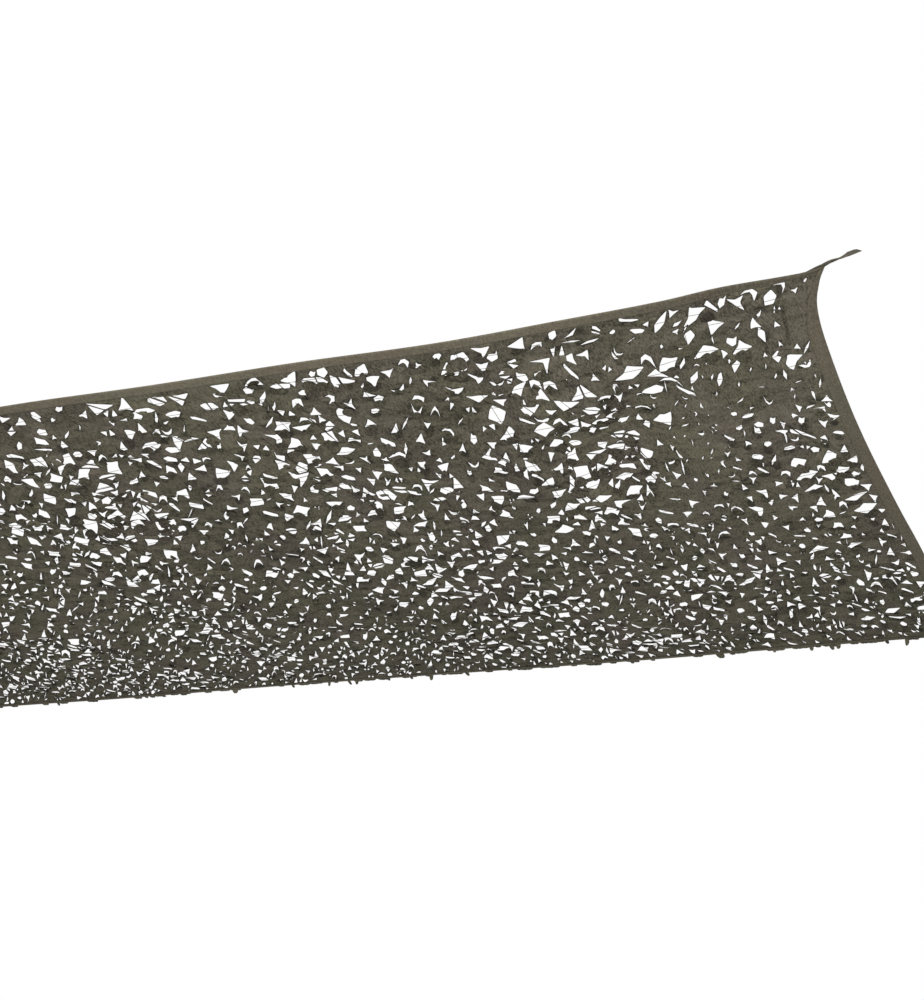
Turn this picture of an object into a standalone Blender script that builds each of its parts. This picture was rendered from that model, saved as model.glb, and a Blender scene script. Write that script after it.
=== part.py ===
"""Shade sail of leaf-cut netting, hung by four corner straps.

The sail is one cut cloth with folded binding tape on its four edges and a
webbing strap sewn on each corner. Its long side runs along X, its short side
along Y, and it hangs level, so that it is looked at from below.

Run with: blender --background --python part.py
"""

import math

import bmesh
import bpy
from mathutils import Vector

# Driving sizes, in metres
LENGTH = 5.0
DEPTH = 3.0
SAG = 0.075
CLOTH_THICKNESS = 0.002
BINDING_WIDTH = 0.038
BINDING_END_WIDTH = 0.014
BINDING_TAPER = 0.34
BINDING_PLY = 0.001
BINDING_CLEARANCE = 0.0005
BINDING_FOLD = 0.002
MITRE_GAP = 0.0003
STRAP_SEAT_GAP = 0.0003

# The near right strap ends at the origin, and the sail's corner lies inside it
CORNER = Vector((-0.0925, 0.060, 0.012))

# Cells of the cloth: the outermost row and column lie under the binding
CELLS_ALONG = 48
CELLS_ACROSS = 29
CLOTH_INSET = 0.004
BORDER_STRIP = 0.046
FADE_WIDTH = 0.16
LINE_JITTER = 0.028

# Openings that are cut through: half length, half width and drift are shares of a cell's side
OPENINGS = 300
OPENING_LONG = 0.325
OPENING_WIDE = 0.21
OPENING_ANGLE = 62.0
OPENING_TURN = 36.0
OPENING_DRIFT = 0.12
OPENING_SMALLEST = 0.74
OPENING_SPREAD = 0.36
OPENING_MARGIN = 0.09
PINCH_CHOICES = 6.0
PINCHED_REACH = 0.35
FIRST_INSET = 0.005
PATCH_LUCK = 0.75
CORNER_KEPT_WHOLE = 0.30

# Inward bow of each edge: (share of the edge from its right or near end, metres inward)
NEAR_BOW = (
    (0.00, 0.000), (0.012, 0.015), (0.05, 0.019), (0.08, 0.038), (0.13, 0.050), (0.20, 0.062),
    (0.28, 0.044), (0.37, 0.038), (0.46, 0.020), (0.60, 0.030), (0.80, 0.045), (0.93, 0.028), (1.00, 0.000),
)
FAR_BOW = (
    (0.00, 0.000), (0.04, 0.012), (0.14, 0.006), (0.28, -0.008), (0.45, 0.004), (0.62, 0.014),
    (0.80, 0.002), (0.94, 0.014), (1.00, 0.000),
)
RIGHT_BOW = (
    (0.00, 0.000), (0.02, 0.024), (0.06, 0.054), (0.13, 0.071), (0.30, 0.084), (0.50, 0.076),
    (0.66, 0.062), (0.82, 0.058), (0.93, 0.044), (1.00, 0.000),
)
LEFT_BOW = (
    (0.00, 0.000), (0.03, 0.030), (0.10, 0.060), (0.30, 0.078), (0.55, 0.084), (0.75, 0.070),
    (0.92, 0.050), (1.00, 0.000),
)

# Main folds: (start u, start v, end u, end v, half width, height), metres from the near right corner
FOLDS = (
    (0.45, 0.25, 0.95, 1.45, 0.12, 0.016),
    (1.12, 0.50, 0.72, 1.40, 0.13, -0.018),
    (1.45, 0.30, 1.75, 1.30, 0.12, 0.014),
    (2.22, 0.10, 2.14, 2.90, 0.11, 0.020),
    (2.00, 0.40, 2.00, 1.60, 0.12, -0.012),
    (2.50, 0.30, 2.70, 1.40, 0.14, -0.018),
    (3.05, 0.45, 2.95, 2.10, 0.13, 0.014),
    (0.40, 1.60, 0.62, 2.75, 0.13, 0.014),
    (1.25, 1.75, 1.05, 2.85, 0.12, -0.014),
    (1.70, 1.50, 1.62, 2.75, 0.12, 0.012),
    (3.60, 0.80, 3.85, 2.60, 0.14, -0.016),
    (3.40, 1.90, 3.10, 2.85, 0.12, -0.012),
    (4.30, 0.40, 4.15, 1.90, 0.13, 0.015),
    (4.45, 1.70, 4.60, 2.75, 0.12, -0.012),
)

# Creases that fan out of every corner: (angle from the long edge in degrees, length, half width, height)
FANS = (
    (16.0, 1.05, 0.085, 0.010),
    (31.0, 1.30, 0.090, -0.012),
    (47.0, 1.20, 0.090, 0.013),
    (63.0, 1.05, 0.085, -0.010),
)
FAN_START = 0.14
FOLD_END_EASE = 0.7

# Where the cut leaves stand open: (u, v, radius along u, radius along v, gain)
PATCHES = (
    (0.87, 0.92, 0.24, 0.22, 1.0), (0.89, 0.52, 0.15, 0.24, 0.7), (0.98, 1.31, 0.14, 0.18, 0.6),
    (1.67, 0.95, 0.16, 0.18, 0.7), (1.49, 0.45, 0.18, 0.16, 0.5), (2.03, 0.51, 0.20, 0.20, 0.6),
    (2.64, 0.92, 0.28, 0.22, 1.0), (2.45, 0.41, 0.20, 0.24, 0.7), (2.93, 0.66, 0.18, 0.30, 0.7),
    (2.86, 1.29, 0.16, 0.20, 0.7), (1.75, 1.58, 0.38, 0.14, 0.6), (0.20, 1.50, 0.14, 0.30, 0.6),
    (3.72, 1.58, 0.24, 0.20, 0.5), (3.72, 2.18, 0.24, 0.20, 0.6), (2.90, 2.10, 0.24, 0.18, 0.5),
    (1.46, 2.14, 0.22, 0.18, 0.6), (0.82, 2.10, 0.20, 0.16, 0.5), (1.94, 2.58, 0.18, 0.20, 0.6),
    (1.24, 2.74, 0.20, 0.14, 0.5), (3.47, 2.72, 0.30, 0.16, 0.5), (0.28, 2.60, 0.16, 0.20, 0.5),
    (4.30, 2.55, 0.26, 0.22, 0.6), (4.35, 1.20, 0.26, 0.26, 0.8), (3.85, 0.50, 0.30, 0.22, 0.7),
    (4.60, 0.45, 0.16, 0.18, 0.4), (0.30, 0.28, 0.16, 0.12, 0.5),
)

# Straps: (distance beyond the corner, half width, half ply, twist in degrees, sideways shift)
STRAP_STATIONS = (
    (-0.100, 0.0100, 0.0010, 0.0, 0.0000),
    (-0.050, 0.0100, 0.0010, 0.0, 0.0000),
    (-0.022, 0.0095, 0.0010, 0.0, 0.0000),
    (-0.006, 0.0062, 0.0014, 0.0, 0.0000),
    (0.010, 0.0052, 0.0017, 0.0, 0.0000),
    (0.026, 0.0052, 0.0019, 6.0, 0.0003),
    (0.038, 0.0062, 0.0022, 26.0, 0.0014),
    (0.048, 0.0082, 0.0017, 46.0, 0.0042),
    (0.060, 0.0098, 0.0011, 60.0, 0.0086),
    (0.080, 0.0100, 0.0010, 62.0, 0.0100),
)
STRAP_DROOP_START = 0.006
STRAP_SHORT_SIDE = 0.088

# Colours and surface values
CLOTH_COLOUR = (0.090, 0.084, 0.066, 1.0)
BINDING_COLOUR = (0.150, 0.140, 0.110, 1.0)
STRAP_COLOUR = (0.105, 0.098, 0.080, 1.0)
CLOTH_ROUGHNESS = 0.85
WEBBING_ROUGHNESS = 0.75


def chance(column, row, use):
    """Returns a repeatable number from 0 to 1 for one cell and one use."""
    wave = math.sin(column * 12.9898 + row * 78.233 + use * 37.719) * 43758.5453
    return wave - math.floor(wave)


def soft_step(value):
    """Eases a value from 0 to 1."""
    value = min(max(value, 0.0), 1.0)
    return value * value * (3.0 - 2.0 * value)


def bow_at(table, share):
    """Reads an edge's inward bow at a share of its length, on a smooth curve through the table's rows."""
    share = min(max(share, 0.0), 1.0)
    last = len(table) - 1
    index = next((place for place in range(last) if share <= table[place + 1][0]), last - 1)
    start, low = table[index]
    end, high = table[index + 1]
    before = table[max(index - 1, 0)]
    after = table[min(index + 2, last)]
    gap = end - start
    rise_low = (high - before[1]) / (end - before[0]) * gap
    rise_high = (after[1] - low) / (after[0] - start) * gap
    part = (share - start) / gap
    square = part * part
    cube = square * part
    bow = low * (2.0 * cube - 3.0 * square + 1.0) + rise_low * (cube - 2.0 * square + part)
    return bow + high * (3.0 * square - 2.0 * cube) + rise_high * (cube - square)


def ridge(u, v, start, end, half_width, height):
    """Returns a fold's height at a point: round across it, and fading at both ends."""
    run = Vector((end[0] - start[0], end[1] - start[1]))
    length = run.length
    direction = run / length
    offset = Vector((u - start[0], v - start[1]))
    along = offset.dot(direction) / length
    if along <= 0.0 or along >= 1.0:
        return 0.0
    across = abs(offset.x * direction.y - offset.y * direction.x)
    return height * math.exp(-(across / half_width) ** 2) * math.sin(math.pi * along) ** FOLD_END_EASE


def fold_height(u, v):
    """Adds up the main folds and the creases of the four corners."""
    total = 0.0
    for start_u, start_v, end_u, end_v, half_width, height in FOLDS:
        total += ridge(u, v, (start_u, start_v), (end_u, end_v), half_width, height)
    corner_u = min(u, LENGTH - u)
    corner_v = min(v, DEPTH - v)
    for angle, length, half_width, height in FANS:
        direction = (math.cos(math.radians(angle)), math.sin(math.radians(angle)))
        start = (direction[0] * FAN_START, direction[1] * FAN_START)
        end = (direction[0] * length, direction[1] * length)
        total += ridge(corner_u, corner_v, start, end, half_width, height)
    edge_distance = min(corner_u, corner_v) - BORDER_STRIP
    return total * soft_step(edge_distance / FADE_WIDTH)


def place(u, v, lift=0.0):
    """Puts a point of the flat cut on the hung sail.

    u runs along the near edge from its right end, v away from it, and lift is
    the height above the cloth's middle.
    """
    share_u = u / LENGTH
    share_v = v / DEPTH
    right = bow_at(RIGHT_BOW, share_v)
    left = bow_at(LEFT_BOW, share_v)
    near = bow_at(NEAR_BOW, share_u)
    far = bow_at(FAR_BOW, share_u)
    x = -(u + right * (1.0 - share_u) - left * share_u)
    y = v + near * (1.0 - share_v) - far * share_v
    dish = 16.0 * share_u * (1.0 - share_u) * share_v * (1.0 - share_v)
    z = fold_height(u, v) - SAG * dish + lift
    return CORNER + Vector((x, y, z))


def open_share(u, v):
    """Says how far the cut leaves stand open at a point."""
    total = 0.0
    for centre_u, centre_v, radius_u, radius_v, gain in PATCHES:
        reach = ((u - centre_u) / radius_u) ** 2 + ((v - centre_v) / radius_v) ** 2
        total += gain * math.exp(-reach)
    return total


def new_material(name, colour, roughness):
    """Makes a plain material of one colour."""
    material = bpy.data.materials.new(name)
    material.use_nodes = True
    shader = material.node_tree.nodes["Principled BSDF"]
    shader.inputs["Base Color"].default_value = colour
    shader.inputs["Roughness"].default_value = roughness
    shader.inputs["Metallic"].default_value = 0.0
    return material


def new_object(name, shape, collection, material):
    """Turns a bmesh into a named object with its material."""
    mesh = bpy.data.meshes.new(name)
    shape.to_mesh(mesh)
    shape.free()
    mesh.materials.append(material)
    item = bpy.data.objects.new(name, mesh)
    collection.objects.link(item)
    return item


def cell_line(index, cells, length):
    """Returns the distance of one grid line: narrow strips at both ends, even between them."""
    if index == 0:
        return CLOTH_INSET
    if index == cells:
        return length - CLOTH_INSET
    pitch = (length - 2.0 * BORDER_STRIP) / (cells - 2)
    return BORDER_STRIP + (index - 1) * pitch


def grid_point(column, row):
    """Returns a grid point's place on the flat cut; those inside the cloth stray a little from their lines."""
    u = cell_line(column, CELLS_ALONG, LENGTH)
    v = cell_line(row, CELLS_ACROSS, DEPTH)
    if 1 < column < CELLS_ALONG - 1 and 1 < row < CELLS_ACROSS - 1:
        u += LINE_JITTER * (chance(column, row, 11) - 0.5)
        v += LINE_JITTER * (chance(column, row, 12) - 0.5)
    return u, v


def cell_point(column, row, share_u, share_v):
    """Returns a point of a cell on the flat cut, at shares of its sides."""
    point = [0.0, 0.0]
    for side_u, weight_u in ((0, 1.0 - share_u), (1, share_u)):
        for side_v, weight_v in ((0, 1.0 - share_v), (1, share_v)):
            u, v = grid_point(column + side_u, row + side_v)
            point[0] += u * weight_u * weight_v
            point[1] += v * weight_u * weight_v
    return tuple(point)


def chosen_cells():
    """Picks the cells whose opening is cut: those where the leaves stand widest open."""
    ranked = []
    for column in range(1, CELLS_ALONG - 1):
        for row in range(1, CELLS_ACROSS - 1):
            u, v = cell_point(column, row, 0.5, 0.5)
            if min(u, LENGTH - u) + min(v, DEPTH - v) < CORNER_KEPT_WHOLE:
                continue
            ranked.append((open_share(u, v) + PATCH_LUCK * chance(column, row, 1), column, row))
    ranked.sort(reverse=True)
    return {(column, row) for score, column, row in ranked[:OPENINGS]}


def opening_point(column, row, side_u, side_v):
    """Returns one corner of a cell's opening on the flat cut, long along the leaves' slant."""
    long_side = side_v
    cross_side = -side_u
    index = (0 if side_u < 0 else 1) + (0 if side_v < 0 else 2)
    reach = OPENING_SMALLEST + OPENING_SPREAD * chance(column, row, 4 + index)
    if index == int(chance(column, row, 3) * PINCH_CHOICES):
        reach *= PINCHED_REACH
    along = long_side * reach * OPENING_LONG
    across = cross_side * reach * OPENING_WIDE
    turn = math.radians(OPENING_ANGLE + OPENING_TURN * (chance(column, row, 2) - 0.5))
    shares = []
    for offset, use in (
        (along * math.cos(turn) - across * math.sin(turn), 13),
        (along * math.sin(turn) + across * math.cos(turn), 14),
    ):
        share = 0.5 + OPENING_DRIFT * (chance(column, row, use) - 0.5) + offset
        shares.append(min(max(share, OPENING_MARGIN), 1.0 - OPENING_MARGIN))
    return cell_point(column, row, shares[0], shares[1])


def build_cloth(collection, material):
    """Makes the cut cloth: a grid with inset openings, hung in its folds and given its thickness."""
    shape = bmesh.new()
    bmesh.ops.create_grid(shape, x_segments=CELLS_ALONG, y_segments=CELLS_ACROSS, size=0.5)
    chosen = chosen_cells()
    picked = {}
    for face in shape.faces:
        middle = face.calc_center_median()
        column = int((middle.x + 0.5) * CELLS_ALONG)
        row = int((middle.y + 0.5) * CELLS_ACROSS)
        if (column, row) in chosen:
            picked[face] = (column, row, middle.copy())
    bmesh.ops.inset_individual(shape, faces=list(picked), thickness=FIRST_INSET, use_even_offset=True)
    cut_points = {}
    for face, (column, row, middle) in picked.items():
        for point in face.verts:
            side_u = 1.0 if point.co.x > middle.x else -1.0
            side_v = 1.0 if point.co.y > middle.y else -1.0
            cut_points[point] = opening_point(column, row, side_u, side_v)
    for point in shape.verts:
        if point in cut_points:
            u, v = cut_points[point]
        else:
            u, v = grid_point(round((point.co.x + 0.5) * CELLS_ALONG), round((point.co.y + 0.5) * CELLS_ACROSS))
        point.co = place(u, v)
    bmesh.ops.delete(shape, geom=list(picked), context="FACES_ONLY")
    bmesh.ops.recalc_face_normals(shape, faces=shape.faces)
    cloth = new_object("net", shape, collection, material)
    thickness = cloth.modifiers.new("Thickness", "SOLIDIFY")
    thickness.thickness = CLOTH_THICKNESS
    thickness.offset = 0.0
    return cloth


def binding_width(along, length):
    """Returns the tape's width at a distance along its edge; it narrows toward both corners."""
    share = soft_step(min(along, length - along) / BINDING_TAPER)
    return BINDING_END_WIDTH + (BINDING_WIDTH - BINDING_END_WIDTH) * share


def binding_section(width):
    """Returns the folded tape's section as (distance inward, lift) points, running round it once."""
    inner = 0.5 * CLOTH_THICKNESS + BINDING_CLEARANCE
    outer = inner + BINDING_PLY
    return (
        (0.0, -outer), (width, -outer), (width, -inner), (BINDING_FOLD, -inner),
        (BINDING_FOLD, inner), (width, inner), (width, outer), (0.0, outer),
    )


def skin_sections(shape, rings):
    """Joins rings of equal point count into one closed body with end faces."""
    points = [[shape.verts.new(place_at) for place_at in ring] for ring in rings]
    count = len(points[0])
    for first, second in zip(points, points[1:]):
        for index in range(count):
            after = (index + 1) % count
            shape.faces.new((first[index], first[after], second[after], second[index]))
    shape.faces.new(list(reversed(points[0])))
    shape.faces.new(points[-1])
    bmesh.ops.recalc_face_normals(shape, faces=shape.faces)


def build_binding(name, side, collection, material):
    """Makes the folded tape of one edge on the cloth's own grid lines, mitred at both ends."""
    cells, length = (CELLS_ALONG, LENGTH) if side in ("near", "far") else (CELLS_ACROSS, DEPTH)
    rings = []
    for station in range(cells + 1):
        ring = []
        width = binding_width(cell_line(station, cells, length), length)
        for inward, lift in binding_section(width):
            margin = inward + MITRE_GAP
            along = cell_line(station, cells, length)
            if station == 0:
                along = margin
            elif station == cells:
                along = length - margin
            if side == "near":
                ring.append(place(along, inward, lift))
            elif side == "far":
                ring.append(place(along, DEPTH - inward, lift))
            elif side == "right":
                ring.append(place(inward, along, lift))
            else:
                ring.append(place(LENGTH - inward, along, lift))
        rings.append(ring)
    shape = bmesh.new()
    skin_sections(shape, rings)
    return new_object(name, shape, collection, material)


def build_strap(name, side_u, side_v, collection, material):
    """Makes one corner strap: flat on the corner's upper side, then twisted, with a slanted end."""
    corner = place(LENGTH if side_u else 0.0, DEPTH if side_v else 0.0)
    outward = Vector((CORNER.x if side_u else -CORNER.x, CORNER.y if side_v else -CORNER.y, 0.0))
    free_length = outward.length
    outward.normalize()
    upward = Vector((0.0, 0.0, 1.0))
    hand = 1.0 if side_u == side_v else -1.0
    sideways = Vector((-outward.y, outward.x, 0.0)) * hand
    seat = 0.5 * CLOTH_THICKNESS + BINDING_CLEARANCE + BINDING_PLY + STRAP_SEAT_GAP
    rings = []
    for distance, half_width, half_ply, twist, shift in STRAP_STATIONS:
        share = soft_step((distance - STRAP_DROOP_START) / (free_length - STRAP_DROOP_START))
        height = (seat + half_ply) * (1.0 - share) - CORNER.z * share
        angle = math.radians(twist)
        flat = sideways * math.cos(angle) + upward * math.sin(angle)
        normal = upward * math.cos(angle) - sideways * math.sin(angle)
        middle = corner + outward * distance + upward * height + flat * shift
        rings.append([
            middle - flat * half_width - normal * half_ply,
            middle + flat * half_width - normal * half_ply,
            middle + flat * half_width + normal * half_ply,
            middle - flat * half_width + normal * half_ply,
        ])
    distance, half_width, half_ply, twist, shift = STRAP_STATIONS[-1]
    long_step = outward * (free_length - distance)
    short_step = outward * (STRAP_SHORT_SIDE - distance)
    drop = corner + outward * free_length - upward * CORNER.z - (rings[-1][0] + rings[-1][3]) * 0.5 - long_step
    steps = (long_step + drop, short_step + drop * 0.5, short_step + drop * 0.5, long_step + drop)
    rings.append([point + step for point, step in zip(rings[-1], steps)])
    shape = bmesh.new()
    skin_sections(shape, rings)
    return new_object(name, shape, collection, material)


def main():
    """Clears the scene and builds the sail."""
    for item in list(bpy.data.objects):
        bpy.data.objects.remove(item, do_unlink=True)
    collection = bpy.data.collections.new("shade_sail")
    bpy.context.scene.collection.children.link(collection)

    cloth_material = new_material("net_cloth", CLOTH_COLOUR, CLOTH_ROUGHNESS)
    build_cloth(collection, cloth_material)
    for side in ("near", "far", "right", "left"):
        tape = new_material("binding_tape_" + side, BINDING_COLOUR, WEBBING_ROUGHNESS)
        build_binding("binding_" + side, side, collection, tape)
    for name, side_u, side_v in (
        ("strap_near_right", 0, 0), ("strap_near_left", 1, 0), ("strap_far_right", 0, 1), ("strap_far_left", 1, 1),
    ):
        webbing = new_material(name + "_webbing", STRAP_COLOUR, WEBBING_ROUGHNESS)
        build_strap(name, side_u, side_v, collection, webbing)


main()
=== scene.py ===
"""Looks of a rectangular shade sail of leaf-cut netting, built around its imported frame.

The sail hangs level and is looked at from below. Its cloth is one sheet whose
leaves are cut and curl open, a thin net of threads backs it, folded tape binds
its edges, and a twisted webbing strap leaves every corner. u is the distance
along the near edge from its right end and v the distance away from that edge,
both in metres on the flat cut.
"""

import logging
import math
from dataclasses import dataclass
from enum import Enum
from typing import NamedTuple

import bpy
import numpy as np
from mathutils import Matrix, Vector, noise
from mathutils.geometry import delaunay_2d_cdt


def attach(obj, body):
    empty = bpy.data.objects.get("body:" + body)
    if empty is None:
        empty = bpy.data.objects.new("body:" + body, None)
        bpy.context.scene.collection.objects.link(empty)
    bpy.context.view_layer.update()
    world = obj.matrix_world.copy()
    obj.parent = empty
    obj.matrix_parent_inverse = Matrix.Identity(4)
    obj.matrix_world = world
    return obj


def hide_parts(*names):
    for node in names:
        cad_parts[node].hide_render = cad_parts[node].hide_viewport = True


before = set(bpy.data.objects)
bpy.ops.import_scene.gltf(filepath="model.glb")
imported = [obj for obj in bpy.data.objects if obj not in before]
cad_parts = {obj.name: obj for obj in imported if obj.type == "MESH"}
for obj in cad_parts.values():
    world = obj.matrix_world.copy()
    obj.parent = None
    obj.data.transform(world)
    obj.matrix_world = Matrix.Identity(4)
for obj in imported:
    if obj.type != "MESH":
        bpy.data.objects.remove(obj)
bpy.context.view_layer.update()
LOG = logging.getLogger("shade_sail")
BODY = "root"

# The steps and the height of the steep wave that chance reads
WAVE_STEPS = (12.9898, 78.233, 37.719)
WAVE_HEIGHT = 43758.5453

# Where each kind of cut starts its own uses of chance
WIDEST = 80
MIDDLE = 100
CROSSING = 130
LOW_SIDE = 160
RIGHT_SIDE = 200
PLACED = 900

SQUARE_CM = 1e-4
TINY = 1e-9

Point = tuple[float, float]
Colour = tuple[float, float, float]
Piece = bpy.types.Object


def chance(column: int, row: int, use: int) -> float:
    """Gives a repeatable number from 0 to 1 for one cell and one use, which looks random."""
    wave = math.sin(column * WAVE_STEPS[0] + row * WAVE_STEPS[1] + use * WAVE_STEPS[2]) * WAVE_HEIGHT
    return wave - math.floor(wave)


class Key(NamedTuple):
    """One thing's own run of chance: its column and row, and the first of its uses."""

    column: int
    row: int
    use: int

    def luck(self, offset: int) -> float:
        """Draws a number from 0 to 1 for the use at an offset."""
        return chance(self.column, self.row, self.use + offset)

    def drawn(self, span: Point, offset: int) -> float:
        """Draws a number from a span, given as its least value and its width."""
        return span[0] + span[1] * self.luck(offset)

    def astray(self, width: float, offset: int) -> float:
        """Draws a number from a span that lies evenly round 0."""
        return width * (self.luck(offset) - 0.5)

    def spread(self, offset: int) -> float:
        """Draws a number that gathers round 0 and is seldom past 1 or -1, from three uses."""
        return self.luck(offset) + self.luck(offset + 1) + self.luck(offset + 2) - 1.5


class Site(NamedTuple):
    """Where one cut goes, and its area in square centimetres."""

    area: float
    u: float
    v: float
    key: Key


def soft_step(value: float) -> float:
    """Eases a value from 0 to 1."""
    value = min(max(value, 0.0), 1.0)
    return value * value * (3.0 - 2.0 * value)


def hundredths(table: tuple | int) -> tuple | float:
    """Turns a table of whole hundredths into numbers, through all its rows."""
    return table / 100 if isinstance(table, int) else tuple(hundredths(part) for part in table)


def table_at(table: tuple, share: float) -> float:
    """Reads an edge's inward bow, on a smooth curve through the table's rows.

    Args:
        table: rows of (share of the edge, inward metres).
        share: where along the edge, from 0 to 1.

    Returns:
        The bow there, in metres.
    """
    share = min(max(share, 0.0), 1.0)
    last = len(table) - 1
    index = next((place for place in range(last) if share <= table[place + 1][0]), last - 1)
    start, low = table[index]
    end, high = table[index + 1]
    before = table[max(index - 1, 0)]
    after = table[min(index + 2, last)]
    gap = end - start
    rise_low = (high - before[1]) / (end - before[0]) * gap
    rise_high = (after[1] - low) / (after[0] - start) * gap
    part = (share - start) / gap
    square = part * part
    cube = square * part
    return (
        low * (2.0 * cube - 3.0 * square + 1.0) + rise_low * (cube - 2.0 * square + part)
        + high * (3.0 * square - 2.0 * cube) + rise_high * (cube - square)
    )


def soft_limit(value: float, limit: float) -> float:
    """Keeps a value within a limit to both sides, and small ones as they are."""
    return limit * math.tanh(value / limit)


@dataclass(frozen=True)
class HungShape:
    """The sail's outline, sag, folds and leaf-sized ruffles."""

    length: float = 5.0
    depth: float = 3.0
    sag: float = 0.075
    corner: tuple = (-0.0925, 0.060, 0.012)
    border: float = 0.046
    fade: float = 0.16
    end_ease: float = 0.7
    ruffle_height: float = 0.0036
    ruffle_scale: float = 13.0
    ruffle_limit: float = 0.0080
    swell_height: float = 0.0040
    swell_scale: float = 4.5
    tape_width: float = 0.038
    tape_end_width: float = 0.014
    tape_taper: float = 0.34
    crease_room: float = 0.006
    strap_reach: float = 0.105
    ridge_reach: float = 3.0
    crease_span: float = 0.7
    crease_ease: float = 0.05
    ruffle_ease: float = 0.05

    # (share of the edge from its right or near end, metres inward)
    near_bow: tuple = (
        (0.0, 0.0), (0.012, 0.015), (0.05, 0.019), (0.08, 0.038), (0.13, 0.05), (0.2, 0.062),
        (0.28, 0.044), (0.37, 0.038), (0.46, 0.02), (0.6, 0.03), (0.8, 0.045), (0.93, 0.028), (1.0, 0.0),
    )
    far_bow: tuple = (
        (0.0, 0.0), (0.04, 0.012), (0.14, 0.006), (0.28, -0.008), (0.45, 0.004), (0.62, 0.014),
        (0.8, 0.002), (0.94, 0.014), (1.0, 0.0),
    )
    right_bow: tuple = (
        (0.0, 0.0), (0.02, 0.024), (0.06, 0.054), (0.13, 0.071), (0.3, 0.084), (0.5, 0.076), (0.66, 0.062),
        (0.82, 0.058), (0.93, 0.044), (1.0, 0.0),
    )
    left_bow: tuple = (
        (0.0, 0.0), (0.03, 0.03), (0.1, 0.06), (0.3, 0.078), (0.55, 0.084), (0.75, 0.07), (0.92, 0.05),
        (1.0, 0.0),
    )

    # Main folds: (start u, start v, end u, end v, half width, height)
    folds: tuple = (
        (0.45, 0.25, 0.95, 1.45, 0.12, 0.016), (1.12, 0.5, 0.72, 1.4, 0.13, -0.018),
        (1.45, 0.3, 1.75, 1.3, 0.12, 0.014), (2.22, 0.1, 2.14, 2.9, 0.11, 0.02),
        (2.0, 0.4, 2.0, 1.6, 0.12, -0.012), (2.5, 0.3, 2.7, 1.4, 0.14, -0.018),
        (3.05, 0.45, 2.95, 2.1, 0.13, 0.014), (0.4, 1.6, 0.62, 2.75, 0.13, 0.014),
        (1.25, 1.75, 1.05, 2.85, 0.12, -0.014), (1.7, 1.5, 1.62, 2.75, 0.12, 0.012),
        (3.6, 0.8, 3.85, 2.6, 0.14, -0.016), (3.4, 1.9, 3.1, 2.85, 0.12, -0.012),
        (4.3, 0.4, 4.15, 1.9, 0.13, 0.015), (4.45, 1.7, 4.6, 2.75, 0.12, -0.012),
    )

    # Creases that fan out of every corner: (angle from the long edge, start, length, half width, height)
    fans: tuple = (
        (16.0, 0.14, 1.05, 0.085, 0.01), (31.0, 0.14, 1.3, 0.09, -0.012),
        (47.0, 0.14, 1.2, 0.09, 0.013), (63.0, 0.14, 1.05, 0.085, -0.01),
    )

    # Fine creases of every corner: rows as above
    fine_fans: tuple = (
        (88.0, 0.0, 0.3, 0.006, 0.0024), (84.0, 0.01, 0.44, 0.007, -0.003),
        (79.0, 0.0, 0.36, 0.007, 0.0034), (73.0, 0.01, 0.46, 0.008, -0.0038),
        (66.0, 0.01, 0.38, 0.009, 0.0036), (58.0, 0.02, 0.34, 0.01, -0.0032),
        (47.0, 0.03, 0.3, 0.01, 0.003), (34.0, 0.02, 0.3, 0.01, -0.003), (22.0, 0.02, 0.34, 0.009, 0.0028),
        (11.0, 0.01, 0.3, 0.008, -0.0026),
    )

    def from_edges(self, u: float, v: float) -> Point:
        """Gives how far a point lies in from the nearer short edge and from the nearer long one."""
        return min(u, self.length - u), min(v, self.depth - v)

    def ridge(self, u: float, v: float, run: tuple, half_width: float, height: float) -> float:
        """Gives one fold's height at a point.

        Args:
            u: metres along the sail.
            v: metres across it.
            run: the fold's start u, start v, end u and end v.
            half_width: how far the fold reaches to each side.
            height: its height, below 0 for a trough.

        Returns:
            The height there, round across the fold and fading at its ends.
        """
        run_u = run[2] - run[0]
        run_v = run[3] - run[1]
        length_squared = run_u * run_u + run_v * run_v
        along = ((u - run[0]) * run_u + (v - run[1]) * run_v) / length_squared
        if along <= 0.0 or along >= 1.0:
            return 0.0
        across = ((u - run[0]) * run_v - (v - run[1]) * run_u) / math.sqrt(length_squared) / half_width
        if abs(across) > self.ridge_reach:
            return 0.0
        return height * math.exp(-across * across) * math.sin(math.pi * along) ** self.end_ease

    def fanned(self, table: tuple, corner_u: float, corner_v: float, total: float) -> float:
        """Adds the creases that fan out of a corner.

        Args:
            table: their rows.
            corner_u: metres from the corner along the sail.
            corner_v: metres from it across the sail.
            total: the height to add them to.

        Returns:
            The height with them.
        """
        for angle, start, length, half_width, height in table:
            cosine = math.cos(math.radians(angle))
            sine = math.sin(math.radians(angle))
            run = (cosine * start, sine * start, cosine * length, sine * length)
            total += self.ridge(corner_u, corner_v, run, half_width, height)
        return total

    def fold_height(self, u: float, v: float) -> float:
        """Adds up the main folds and the creases of the corners at a point.

        Args:
            u: metres along the sail.
            v: metres across it.

        Returns:
            The height there.
        """
        total = 0.0
        for row in self.folds:
            total += self.ridge(u, v, row[:4], row[4], row[5])
        corner_u, corner_v = self.from_edges(u, v)
        total = self.fanned(self.fans, corner_u, corner_v, total)
        return total * soft_step((min(corner_u, corner_v) - self.border) / self.fade)

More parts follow.
